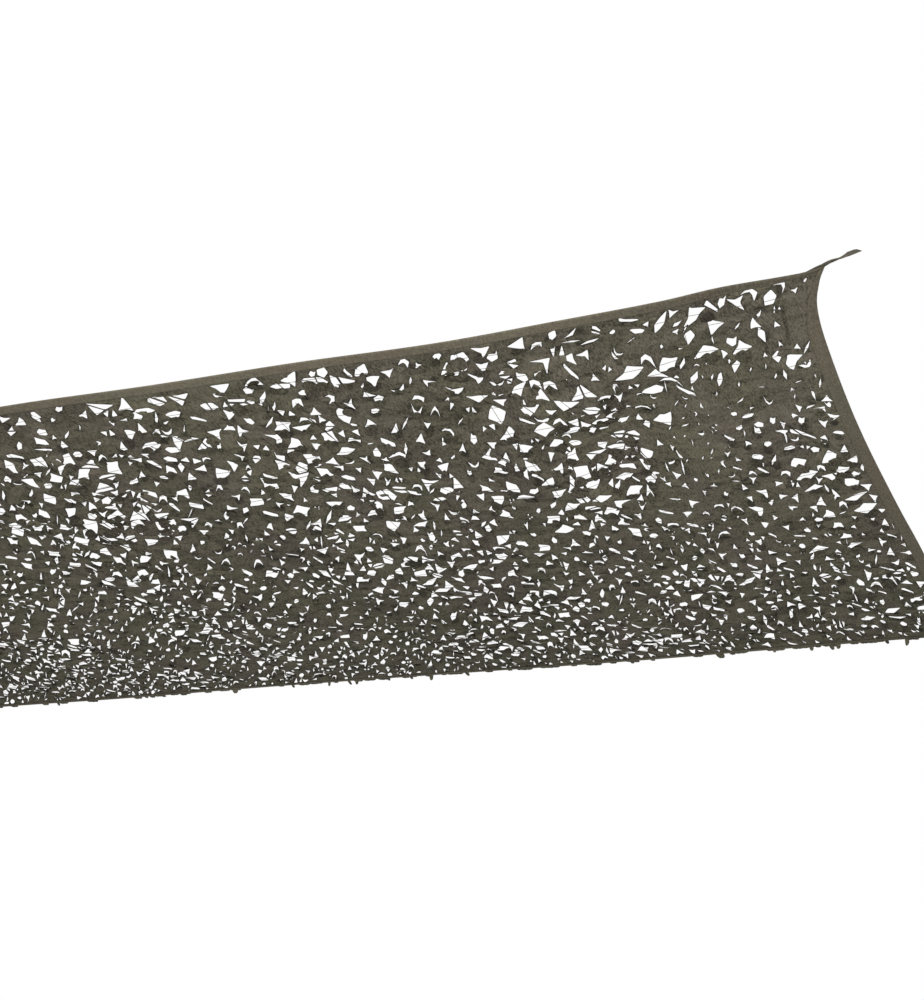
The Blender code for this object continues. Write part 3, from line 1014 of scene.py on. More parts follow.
    def rings(self, site: Site, area: float, motif: Motif, set_turn: float | None = None) -> list:
        """Lays a motif's rings on the flat cut.

        Args:
            site: where the hole lies.
            area: its square centimetres.
            motif: its outline.
            set_turn: its turn, where that isn't left to chance.

        Returns:
            The rings.
        """
        key = site.key
        right_way, near_way, stretch = self.ways(site.u, site.v)
        stretch *= self.small_stretch - self.wide_loss * min(area / self.wide_area, 1.0)
        widen = key.drawn(self.widths, 6)
        size_x = math.sqrt(area * SQUARE_CM / (motif.area * stretch)) * widen
        size_y = size_x * stretch / widen / widen
        mirror = -1.0 if key.luck(7) < self.mirror_share and not motif.slanted else 1.0
        turn = key.astray(self.turn_spread, 8) * (1.0 - 0.5 * min(area / self.calm_area, 1.0))
        if set_turn is not None:
            mirror = 1.0
            turn = set_turn
        cosine = math.cos(turn)
        sine = math.sin(turn)
        bow = key.astray(self.motif_bow, 9)
        for stray in self.strays:
            found = []
            for ring in motif.rings:
                laid = []
                for index, (x, y) in enumerate(ring):
                    jog_x = key.astray(stray * self.jog, 30 + index)
                    jog_y = key.astray(stray * self.jog, 50 + index)
                    bowed = y + stray * bow * (x * x - self.bow_rest)
                    reach_x = (x * mirror * cosine - bowed * sine + jog_x) * size_x
                    reach_y = (x * mirror * sine + bowed * cosine + jog_y) * size_y
                    laid.append((
                        site.u + reach_x * right_way[0] + reach_y * near_way[0],
                        site.v + reach_x * right_way[1] + reach_y * near_way[1],
                    ))
                found.append(laid)
            if not any(crosses_itself(ring) for ring in found):
                break
        if area > self.least_shards and set_turn is None:
            found = self.shards(found, key, area)
        if area > self.least_round:
            found = [rounded(ring, self.corner_share) for ring in found]
        return found

    def shards(self, rings: list, key: Key, area: float) -> list:
        """Divides a wide cut where narrow strips of cloth cross it.

        Args:
            rings: the cut's rings.
            key: its own run of chance.
            area: its square centimetres.

        Returns:
            The rings of its parts.
        """
        found = list(rings)
        for number in range(1 + (area > self.two_strips)):
            found.sort(key=ring_area, reverse=True)
            ring = found[0]
            middle = ring_middle(ring)
            heading = math.radians(self.slant) + key.astray(math.pi, 80 + number) * self.strip_turn
            ahead = (math.cos(heading), math.sin(heading))
            gap = self.shard_gap * key.drawn(self.strip_gaps, 85 + number)
            parts = [clipped(ring, middle, way, gap) for way in (ahead, (-ahead[0], -ahead[1]))]
            if all(len(part) > 2 and ring_area(part) > self.least_shard for part in parts):
                if not any(crosses_itself(part) for part in parts):
                    found = found[1:] + parts
        return found

    def pick(self, key: Key, area: float) -> Motif:
        """Chooses a cut's motif for an area in square centimetres."""
        odds = next(rows for limit, rows in MOTIF_ODDS if area <= limit)
        return next(motif for limit, motif in odds if key.luck(5) <= limit)

    def new_hole(self, ring: list, key: Key) -> Hole:
        """Wraps a ring as a hole with its own rim tilt and tone.

        Args:
            ring: the hole's ring.
            key: its own run of chance.

        Returns:
            The hole.
        """
        slope = self.tilt_slope * key.drawn(self.tilts, 10)
        heading = math.tau * key.luck(11)
        return Hole(ring, (slope * math.cos(heading), slope * math.sin(heading)), key.luck(12), key)

    def openness(self, u: float, v: float) -> float:
        """Says how far the leaves round a point are drawn open."""
        return min(self.reach(self.open_spots, u, v), self.most_open)

    def gap_at(self, u: float, v: float) -> float:
        """Gives the strip of cloth left round a cut, which is narrower where the leaves are drawn open."""
        return self.strut * (1.0 - self.thinner * min(self.openness(u, v), 1.0))

    def holes(self) -> list:
        """Cuts the whole cloth: the widest openings, then those placed one by one, then the others by size.

        Returns:
            Every hole, none of which meets another.
        """
        cut = CutMap(self.shape, self.under_tape)
        chosen = self.chosen_cells()
        found = []
        for column, row in sorted(chosen):
            corners = []
            for side_u, side_v in ((1, 1), (-1, 1), (-1, -1), (1, -1)):
                share_u, share_v = self.opening_share(column, row, side_u, side_v)
                corners.append(self.cell_point(column, row, share_u, share_v))
            ring = rounded(self.bow_sides(corners, Key(column, row, 0)), self.corner_share)
            found += self.cut_out(cut, [ring], corners[0], Key(column, row, WIDEST))
        for index, (u, v, area, motif, turn) in enumerate(self.placed):
            site = Site(area, u, v, Key(index, 0, PLACED))
            rings = self.fitting(cut, self.rings(site, area, motif, turn))
            found += self.cut_out(cut, rings, (u, v), site.key)
        for site in self.sites(chosen):
            corner_u, corner_v = self.shape.from_edges(site.u, site.v)
            if corner_u + self.corner_slope * corner_v < self.corner_kept:
                continue
            area = site.area
            for _ in range(self.tries):
                rings = self.fitting(cut, self.rings(site, area, self.pick(site.key, area)))
                found += self.cut_out(cut, rings, (site.u, site.v), site.key)
                area *= self.shrink
                if rings or area < self.smallest_try:
                    break
        return found

    def cut_out(self, cut: CutMap, rings: list, spot: Point, key: Key) -> list:
        """Cuts rings out of the cloth.

        Args:
            cut: what is taken already, which it adds to.
            rings: the rings.
            spot: where they lie.
            key: their own run of chance.

        Returns:
            Their holes.
        """
        for ring in rings:
            cut.take(ring, self.gap_at(*spot))
        return [self.new_hole(ring, key) for ring in rings]

    def fitting(self, cut: CutMap, rings: list) -> list:
        """Shifts a hole's rings a little until they fit.

        Args:
            cut: what is taken already.
            rings: the hole's rings.

        Returns:
            The rings where they fit, or an empty list.
        """
        for shift_u, shift_v in self.shifts:
            shifted = [[(u + shift_u, v + shift_v) for u, v in ring] for ring in rings]
            if all(cut.free(ring) for ring in shifted):
                return shifted
        return []


def new_piece(name: str, points: list, faces: list, smooth: bool = True) -> Piece:
    """Makes a mesh piece that rides on the frame.

    Args:
        name: the piece's name.
        points: its points in the frame's metres.
        faces: its faces, as tuples of point numbers.
        smooth: whether its faces are shaded smooth.

    Returns:
        The new object.
    """
    mesh = bpy.data.meshes.new(name)
    mesh.from_pydata(points, [], faces)
    mesh.validate()
    if smooth:
        mesh.shade_smooth()
    piece = bpy.data.objects.new(name, mesh)
    bpy.context.scene.collection.objects.link(piece)
    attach(piece, BODY)
    return piece


def paint_points(piece: Piece, name: str, values: list) -> None:
    """Stores one number a point on a piece for its material to read."""
    attribute = piece.data.attributes.new(name, "FLOAT", "POINT")
    attribute.data.foreach_set("value", values)


def lay_uv(piece: Piece, flat: list) -> None:
    """Gives a piece a UV map from its points' places on the flat cut, in metres.

    Args:
        piece: the piece.
        flat: one place a point.
    """
    layer = piece.data.uv_layers.new(name="flat_cut")
    for loop in piece.data.loops:
        layer.data[loop.index].uv = flat[loop.vertex_index]


def swept_faces(first: int, rows: int, across: int = 3, closed: bool = False) -> list:
    """Lists the faces between rows of points.

    Args:
        first: the number of the first point.
        rows: how many rows there are.
        across: how many points a row has.
        closed: whether every row runs once round.

    Returns:
        The faces, as tuples of point numbers.
    """
    found = []
    for start in range(first, first + (rows - 1) * across, across):
        for place in range(across if closed else across - 1):
            after = (place + 1) % across
            found.append((start + place, start + after, start + across + after, start + across + place))
    return found


class ClothStrips:
    """Loose strips of the net's own cloth that are joined into one piece."""

    def __init__(self, shape: HungShape, furthest: float = math.inf) -> None:
        """Starts without a strip.

        Args:
            shape: the sail's shape.
            furthest: how far across the sail its points may be placed.
        """
        self.shape = shape
        self.furthest = furthest
        self.points = []
        self.faces = []
        self.flat = []
        self.tones = []

    def add(self, spots: list, tone: float) -> None:
        """Adds a strip.

        Args:
            spots: its points as (u, v, lift), three to a row.
            tone: its own tone.
        """
        self.faces.extend(swept_faces(len(self.points), len(spots) // 3))
        for u, v, lift in spots:
            self.points.append(self.shape.place(u, min(v, self.furthest), lift))
            self.flat.append((u, v))
            self.tones.append(tone)

    def joined(self, name: str) -> Piece:
        """Makes the piece.

        Args:
            name: its name.

        Returns:
            The new object.
        """
        piece = new_piece(name, self.points, self.faces)
        paint_points(piece, "tone", self.tones)
        lay_uv(piece, self.flat)
        return piece


@dataclass
class NetSheet:
    """The cut cloth, as one thin sheet with every hole cut through."""

    shape: HungShape
    pattern: LeafPattern
    edge_step: float = 0.04
    rim_width: float = 0.0042
    rim_curl: float = 0.0009
    rim_painted_shade: float = -0.95
    # Painted shade that darkens every hole's rim, as if the curled rim lay in shade
    rim_ease: float = 0.03
    outer_lift: float = 0.5
    outer_tone: float = 0.3
    tape_row: float = 0.55
    plain_shares: tuple = (0.06, 0.39, 0.72)
    name: str = "net_sheet"

    # Painted light: how much lighter the whole cloth is at the corners, along the short edges and toward
    # them
    corner_painted_light: float = 0.05
    corner_radius: float = 0.40
    corner_squash: float = 0.6
    edge_painted_light: float = 0.20
    edge_middle: float = 0.05
    edge_width: float = 0.06
    end_painted_light: float = 0.25
    end_reach: float = 1.2
    end_near: float = 0.8
    end_far: Point = (1.3, 0.5)

    def build(self, holes: list) -> Piece:
        """Meshes the cloth round its holes and hangs it in its folds.

        Args:
            holes: the cloth's holes.

        Returns:
            The sheet.
        """
        points = []
        owners = []
        rings = []
        for hole in holes:
            rings.append(list(range(len(points), len(points) + len(hole.ring))))
            outline = hole.outline(self.rim_width)
            points.extend(Vector(p) for p in hole.ring + outline)
            owners.extend([(hole, True)] * len(hole.ring) + [(hole, False)] * len(outline))
        plain = self.plain_points()
        points.extend(Vector(p) for p in plain)
        owners.extend([(None, False)] * len(plain))
        flat, _, faces, from_points, _, from_faces = delaunay_2d_cdt(points, [], rings, 0, 1e-6)
        kept = [tuple(face) for face, source in zip(faces, from_faces) if not source]
        used = sorted({index for face in kept for index in face})
        renumber = {old: new for new, old in enumerate(used)}
        places = []
        tones = []
        for old in used:
            u, v = flat[old]
            source = from_points[old]
            hole, on_rim = owners[source[0]] if source else (None, False)
            lift, tone = self.surface(u, v, hole, on_rim)
            places.append(self.shape.place(u, v, lift))
            tones.append(tone)
        faces = [tuple(renumber[index] for index in face) for face in kept]
        piece = new_piece(self.name, places, faces)
        paint_points(piece, "tone", tones)
        lay_uv(piece, [tuple(flat[old]) for old in used])
        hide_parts("net")
        return piece

    def surface(self, u: float, v: float, hole: Hole | None, on_rim: bool) -> tuple:
        """Gives the cloth's lift and tone at a point; the tone holds painted light and the painted shade of
        the hole rims.

        Args:
            u: metres along the sail.
            v: metres across it.
            hole: the hole it belongs to, if it does.
            on_rim: whether it lies on the hole's rim, and not just outside.

        Returns:
            The lift and the tone.
        """
        shape = self.shape
        lift = shape.ruffle(u, v)
        # Painted light: lighter at the corners, along the short edges and toward them
        tone = 0.5 + self.painted_light_tone(u, v)
        if hole:
            inside = min(shape.from_edges(u, v))
            rim = (hole.lift_at(u, v) - self.rim_curl) * soft_step((inside - shape.border) / self.rim_ease)
            lift += rim if on_rim else self.outer_lift * rim
            # Rim points get painted shade; points just outside get the hole's random tone
            tone += self.rim_painted_shade if on_rim else self.outer_tone * (hole.tone - 0.5)
        return lift, tone

    def painted_light_tone(self, u: float, v: float) -> float:
        """Gives the painted light that makes the whole cloth lighter at the corners and along the short
        edges.

        Args:
            u: metres along the sail.
            v: metres across it.

        Returns:
            What it adds to the tone.
        """
        corner_u, corner_v = self.shape.from_edges(u, v)
        corner = soft_step(1.0 - math.hypot(corner_u, corner_v * self.corner_squash) / self.corner_radius)
        edge = math.exp(-((corner_u - self.edge_middle) / self.edge_width) ** 2)
        end = soft_step(1.0 - corner_u / self.end_reach) * soft_step(self.end_far[0] - self.end_far[1] * v)
        end *= soft_step(v / self.end_near)
        return self.corner_painted_light * corner + self.edge_painted_light * edge + self.end_painted_light * end

    def plain_points(self) -> list:
        """Gives the points between the holes: the edge, a row under the tape, and nine points a cell.

        Returns:
            The points on the flat cut.
        """
        shape = self.shape
        inset = self.pattern.inset
        found = []
        count_u = round(shape.length / self.edge_step)
        count_v = round(shape.depth / self.edge_step)
        for inward in (inset, shape.border * self.tape_row, shape.border):
            for index in range(count_u + 1):
                u = inward + (shape.length - 2.0 * inward) * index / count_u
                found.extend(((u, inward), (u, shape.depth - inward)))
            for index in range(1, count_v):
                v = inward + (shape.depth - 2.0 * inward) * index / count_v
                found.extend(((inward, v), (shape.length - inward, v)))
        for column in range(1, self.pattern.columns - 1):
            for row in range(1, self.pattern.rows - 1):
                for share_u in self.plain_shares:
                    for share_v in self.plain_shares:
                        found.append(self.pattern.cell_point(column, row, share_u, share_v))
        return found


@dataclass
class LeafFlaps:
    """The cut leaves: some hang as tongues across a hole's far rim, painted dark as shade, others lie curled
    beside their holes.
    """

    shape: HungShape
    pattern: LeafPattern
    least_area: float = 1.2e-4
    tongue_area: float = 3.2e-4
    tongue_share: float = 0.58
    lying_share: float = 0.55
    upper_share: float = 0.35
    upper_gain: float = 1.6
    toward_share: float = 0.6
    lying_swing: float = 0.6
    lying_root: float = 0.92
    lying_long: tuple = (0.014, 0.85, 0.044)
    side_share: float = 0.34
    lean: float = 0.35
    half_limits: Point = (0.010, 0.022)
    stand: float = 0.0007
    cup: float = 0.0024
    twist: float = 0.10
    wave: float = 0.18
    rim_ease: float = 0.03
    least_stand: float = 0.25
    name: str = "leaf_flaps"

    # Spans: (least, how much more at most)
    tongue_painted_shade: Point = (-0.25, 0.55)
    lying_tone: Point = (0.25, 0.75)
    inside: Point = (0.22, 0.32)
    outside: Point = (0.018, 0.034)
    tongue_half: Point = (0.34, 0.30)
    tongue_drop: Point = (0.0030, 0.0035)
    lying_half: Point = (0.30, 0.22)
    lying_rise: Point = (0.002, 0.003)

    # Leaf outline from root to tip: (share of its length, share of its half width, share of its rise)
    outline: tuple = (
        (0.0, 0.58, 0.0), (0.22, 0.92, 0.3), (0.5, 1.0, 0.62), (0.76, 0.74, 0.88), (0.92, 0.4, 1.0),
        (1.0, 0.08, 0.97),
    )

    def build(self, holes: list) -> Piece:
        """Makes every leaf and joins them into one piece.

        Args:
            holes: the cloth's holes.

        Returns:
            The leaves' piece.
        """
        strips = ClothStrips(self.shape)
        for hole in holes:
            if hole.area < self.least_area or hole.placed:
                continue
            if hole.area > self.tongue_area and hole.key.luck(15) < self.tongue_share:
                # Tongues get a painted shade tone; lying leaves get a random tone
                strips.add(self.tongue(hole), hole.key.drawn(self.tongue_painted_shade, 14))
            elif hole.key.luck(16) < self.lying_share:
                strips.add(self.lying(hole), hole.key.drawn(self.lying_tone, 14))
        return strips.joined(self.name)

    def reach_along(self, hole: Hole, way: Point) -> tuple:
        """Gives how far a hole's ring reaches to both sides of its middle along a direction."""
        values = [(u - hole.middle[0]) * way[0] + (v - hole.middle[1]) * way[1] for u, v in hole.ring]
        return min(values), max(values)

    def tongue(self, hole: Hole) -> list:
        """Lays out a leaf rooted beyond its hole's far rim, whose tip hangs in the hole.

        Args:
            hole: the hole.

        Returns:
            Rows of (u, v, lift).
        """
        key = hole.key
        near_way = self.pattern.ways(*hole.middle)[1]
        low, high = self.reach_along(hole, near_way)
        cross_way = (-near_way[1], near_way[0])
        left, right = self.reach_along(hole, cross_way)
        inside = (high - low) * key.drawn(self.inside, 17)
        outside = key.drawn(self.outside, 18)
        least, most = self.half_limits
        half = min(max((right - left) * key.drawn(self.tongue_half, 19), least), most)
        side = key.astray((right - left) * self.side_share, 20)
        root = (
            hole.middle[0] + near_way[0] * (low - outside) + cross_way[0] * side,
            hole.middle[1] + near_way[1] * (low - outside) + cross_way[1] * side,
        )
        lean = key.astray(self.lean, 21)
        way = (near_way[0] + cross_way[0] * lean, near_way[1] + cross_way[1] * lean)
        drop = key.drawn(self.tongue_drop, 22)
        return self.lay(hole, root, way, (outside + inside, half, -drop), key.column + key.row)

    def lying(self, hole: Hole) -> list:
        """Lays out a leaf folded back from its hole onto the cloth.

        Args:
            hole: the hole.

        Returns:
            Rows of (u, v, lift).
        """
        key = hole.key
        heading = math.tau * key.luck(17)
        near_way = self.pattern.ways(*hole.middle)[1]
        bias = 1.0 if key.luck(18) < self.toward_share else -1.0
        swing = (self.lying_swing * math.cos(heading), self.lying_swing * math.sin(heading))
        way = (near_way[0] * bias + swing[0], near_way[1] * bias + swing[1])
        size = math.hypot(*way)
        way = (way[0] / size, way[1] / size)
        high = self.reach_along(hole, way)[1] * self.lying_root
        root = (hole.middle[0] + way[0] * high, hole.middle[1] + way[1] * high)
        least, gain, most = self.lying_long
        length = min(least + gain * math.sqrt(hole.area), most)
        half = length * key.drawn(self.lying_half, 19)
        upper = key.luck(20) < self.upper_share
        rise = key.drawn(self.lying_rise, 22) * (self.upper_gain if upper else -1.0)
        return self.lay(hole, root, way, (length, half, rise), key.column - key.row)

    def lay(self, hole: Hole, root: Point, way: Point, sizes: tuple, seed: int) -> list:
        """Lays a leaf's outline from its root.

        Args:
            hole: the hole the leaf was cut from.
            root: where the leaf joins the cloth.
            way: which way it points on the flat cut.
            sizes: its length, its half width and how far its tip stands off, below 0 under the cloth.
            seed: sets its small unevenness.

        Returns:
            Rows of (u, v, lift), three to each row of the outline.
        """
        length, half, rise = sizes
        side_way = (-way[1], way[0])
        tilt = self.twist * math.sin(seed * 7.3 + root[0] * 90.0)
        found = []
        for share, width, height in self.outline:
            for side in (-1.0, 0.0, 1.0):
                wave = 1.0 + self.wave * math.sin(seed * 2.1 + share * 9.0 + side * 3.0)
                cross = side * half * width * wave
                u = root[0] + way[0] * length * share + side_way[0] * cross
                v = root[1] + way[1] * length * share + side_way[1] * cross
                edge = min(self.shape.from_edges(u, v))
                fade = soft_step((edge - self.shape.border) / self.rim_ease)
                cup = self.cup * (1.0 - abs(side)) * math.sin(math.pi * min(share + 0.1, 1.0))
                stand = math.copysign(self.stand + cup, rise) + rise * height + tilt * cross
                near_rim = max(0.0, 1.0 - share * 2.0)
                lift = self.shape.ruffle(u, v) + hole.lift_at(u, v) * fade * near_rim
                found.append((u, v, lift + stand * (self.least_stand + (1.0 - self.least_stand) * fade)))
        return found


@dataclass
class DrawnStrips:
    """Narrow strips between the cuts that are drawn tight across the open patches, just under the cloth, and
    painted dark as shade.
    """

    shape: HungShape
    depth: float = 0.0035
    sway: float = 0.010
    steps: int = 14
    # A low tone: painted shade that darkens the strips
    tone: float = 0.05
    cup: float = 0.0008
    end_width: float = 0.35
    fray: float = 0.5
    name: str = "drawn_strips"

    # (start u, start v, end u, end v, half width)
    strips: tuple = (
        (1.675, 0.35, 1.645, 0.665, 0.0042), (1.645, 0.665, 1.55, 1.025, 0.005),
        (1.485, 0.2, 1.475, 0.45, 0.003), (1.045, 0.55, 0.99, 0.73, 0.0028),
        (1.345, 0.865, 1.325, 1.055, 0.003), (0.715, 0.6, 0.63, 0.905, 0.0028),
        (0.65, 0.69, 0.63, 0.935, 0.0022), (0.205, 0.775, 0.12, 0.985, 0.003),
        (0.15, 1.08, 0.11, 1.325, 0.0036), (0.08, 0.095, 0.09, 0.315, 0.004),
        (0.92, 0.7, 0.85, 1.12, 0.0026), (2.6, 0.62, 2.52, 1.1, 0.0036), (2.9, 0.45, 2.83, 0.85, 0.0032),
        (2.44, 0.25, 2.4, 0.52, 0.0028), (1.8, 1.46, 1.74, 1.76, 0.004), (3.72, 1.45, 3.66, 1.8, 0.0036),
        (4.36, 1.0, 4.3, 1.42, 0.0034), (3.86, 0.34, 3.8, 0.7, 0.003), (1.94, 2.42, 1.9, 2.76, 0.004),
        (3.45, 2.56, 3.4, 2.86, 0.0036), (0.83, 1.98, 0.79, 2.26, 0.0036),
        (2.92, 1.95, 2.88, 2.28, 0.0034), (4.32, 2.36, 4.28, 2.72, 0.0036),
        (0.27, 2.44, 0.24, 2.74, 0.0034),
    )

    def build(self) -> Piece:
        """Makes every strip and joins them into one piece.

        Returns:
            The strips' piece.
        """
        strips = ClothStrips(self.shape)
        for number, (start_u, start_v, end_u, end_v, half) in enumerate(self.strips):
            spots = []
            for row in range(self.steps + 1):
                share = row / self.steps
                stray = self.sway * noise.noise(Vector((share * 3.0, number * 5.3, 2.1)))
                middle = 4.0 * share * (1.0 - share)
                width = half * (self.end_width + (1.0 - self.end_width) * middle)
                width *= 1.0 + self.fray * noise.noise(Vector((share * 9.0, number, 7.7)))
                for side in (-1.0, 0.0, 1.0):
                    u = start_u + (end_u - start_u) * share + stray + side * width
                    v = start_v + (end_v - start_v) * share
                    sink = self.depth * middle ** 0.5 + self.cup * (1.0 - abs(side))
                    spots.append((u, v, self.shape.ruffle(u, v) - sink))
            strips.add(spots, self.tone)
        return strips.joined(self.name)


@dataclass
class EdgeLeaves:
    """The leaf tips that hang past the far edge."""

    shape: HungShape
    step: float = 0.036
    end_room: float = 0.1
    past_far: float = 0.006
    short_share: float = 0.42
    root: float = 0.010
    hang: float = 0.0030
    crown: float = 0.002
    use: int = 401
    name: str = "edge_leaves"

    # Spans: (least, how much more at most)
    short_drop: Point = (0.002, 0.005)
    short_half: Point = (0.010, 0.022)
    outward: Point = (0.004, 0.006)

    # Outline from root to tip: (share of the drop, share of the half width)
    outline: tuple = ((0.0, 1.0), (0.55, 0.88), (0.88, 0.55), (1.0, 0.15))

    # Long tips: (u, drop, half width, lean)
    long_tips: tuple = (
        (0.26, 0.024, 0.009, 0.3), (0.34, 0.012, 0.008, -0.2), (0.53, 0.016, 0.01, 0.3),
        (0.56, 0.018, 0.01, -0.2), (0.64, 0.015, 0.009, 0.1), (0.79, 0.011, 0.008, 0.2),
        (1.02, 0.016, 0.018, -0.3), (1.4, 0.009, 0.01, 0.2), (2.16, 0.012, 0.009, -0.3),
        (2.33, 0.022, 0.01, 0.2), (2.43, 0.01, 0.008, -0.2), (2.54, 0.01, 0.007, 0.1),
        (2.7, 0.017, 0.009, 0.3), (2.74, 0.016, 0.008, -0.3), (2.84, 0.016, 0.007, 0.4),
        (3.03, 0.011, 0.008, 0.0), (3.34, 0.017, 0.016, 0.2), (4.36, 0.012, 0.008, -0.1),
    )

    def tips(self) -> list:
        """Lists the long tips and, at even steps, the short ones.

        Returns:
            Rows of (u, drop, half width, lean).
        """
        found = list(self.long_tips)
        for index in range(int((self.shape.length - 2.0 * self.end_room) / self.step)):
            if chance(index, 3, self.use) < self.short_share:
                u = self.end_room + (index + 0.7 * chance(index, 1, self.use)) * self.step
                drop = self.short_drop[0] + self.short_drop[1] * chance(index, 2, self.use) ** 2
                half = self.short_half[0] + self.short_half[1] * chance(index, 4, self.use)
                found.append((u, drop, half, chance(index, 5, self.use) - 0.5))
        return found

    def build(self) -> Piece:
        """Makes the short and the long tips and joins them into one piece.

        Returns:
            The tips' piece.
        """
        strips = ClothStrips(self.shape, self.shape.depth + self.past_far)
        for number, (u, drop, half, lean) in enumerate(self.tips()):
            out = self.outward[0] + self.outward[1] * chance(number, 6, self.use)
            spots = []
            for share, width in self.outline:
                for side in (-1.0, 0.0, 1.0):
                    spot_u = u + side * half * width + lean * drop * share
                    spot_v = self.shape.depth - self.root + out * share * 2.0
                    lift = -self.hang - drop * share + self.crown * (1.0 - abs(side)) * share
                    spots.append((spot_u, spot_v, lift))
            strips.add(spots, chance(number, 7, self.use))
        return strips.joined(self.name)


@dataclass
class BackingThreads:
    """The thin net of threads that lies on the cloth and shows through its holes."""

    shape: HungShape
    pitch_along: float = 0.072
    pitch_across: float = 0.31
    step: float = 0.05
    radius: float = 0.0008
    lift: float = 0.0035
    wander: float = 0.012
    edge_share: float = 0.6
    first_cross: int = 500
    name: str = "backing_threads"

    def build(self) -> Piece:
        """Makes the long and the cross threads and joins them into one piece.

        Returns:
            The threads' piece.
        """
        points = []
        faces = []
        border = self.shape.border * self.edge_share
        inner_length = self.shape.length - 2.0 * border
        inner_depth = self.shape.depth - 2.0 * border
        for index in range(1, int(inner_depth / self.pitch_along)):
            start = (border, border + index * self.pitch_along)
            self.run(points, faces, start, (inner_length, 0.0), index)
        for index in range(1, int(inner_length / self.pitch_across)):
            start = (border + index * self.pitch_across, border)
            self.run(points, faces, start, (0.0, inner_depth), self.first_cross + index)
        return new_piece(self.name, points, faces)

    def run(self, points: list, faces: list, start: Point, way: Point, number: int) -> None:
        """Adds one thread as a thin three-sided tube.

        Args:
            points: the piece's points, added to.
            faces: its faces, added to.
            start: the thread's start on the flat cut.
            way: its run along and across the sail, one of them 0.
            number: which thread it is.
        """
        length = max(way)
        heading = (way[0] / length, way[1] / length)
        count = int(length / self.step)
        faces.extend(swept_faces(len(points), count + 1, closed=True))
        side = (-heading[1], heading[0])
        across = Vector((-side[0], side[1], 0.0)).normalized()
        upward = Vector((0.0, 0.0, 1.0))
        for index in range(count + 1):
            reach = length * index / count
            stray = self.wander * noise.noise(Vector((reach * 2.3, number * 3.1, 0.5)))
            u = start[0] + heading[0] * reach + side[0] * stray
            v = start[1] + heading[1] * reach + side[1] * stray
            centre = self.shape.place(u, v, self.shape.ruffle(u, v) + self.lift)
            for corner in range(3):
                angle = math.tau * corner / 3.0
                points.append(centre + (across * math.cos(angle) + upward * math.sin(angle)) * self.radius)


class Side(Enum):
    """The sail's four edges."""

    NEAR = "near"
    FAR = "far"
    RIGHT = "right"
    LEFT = "left"


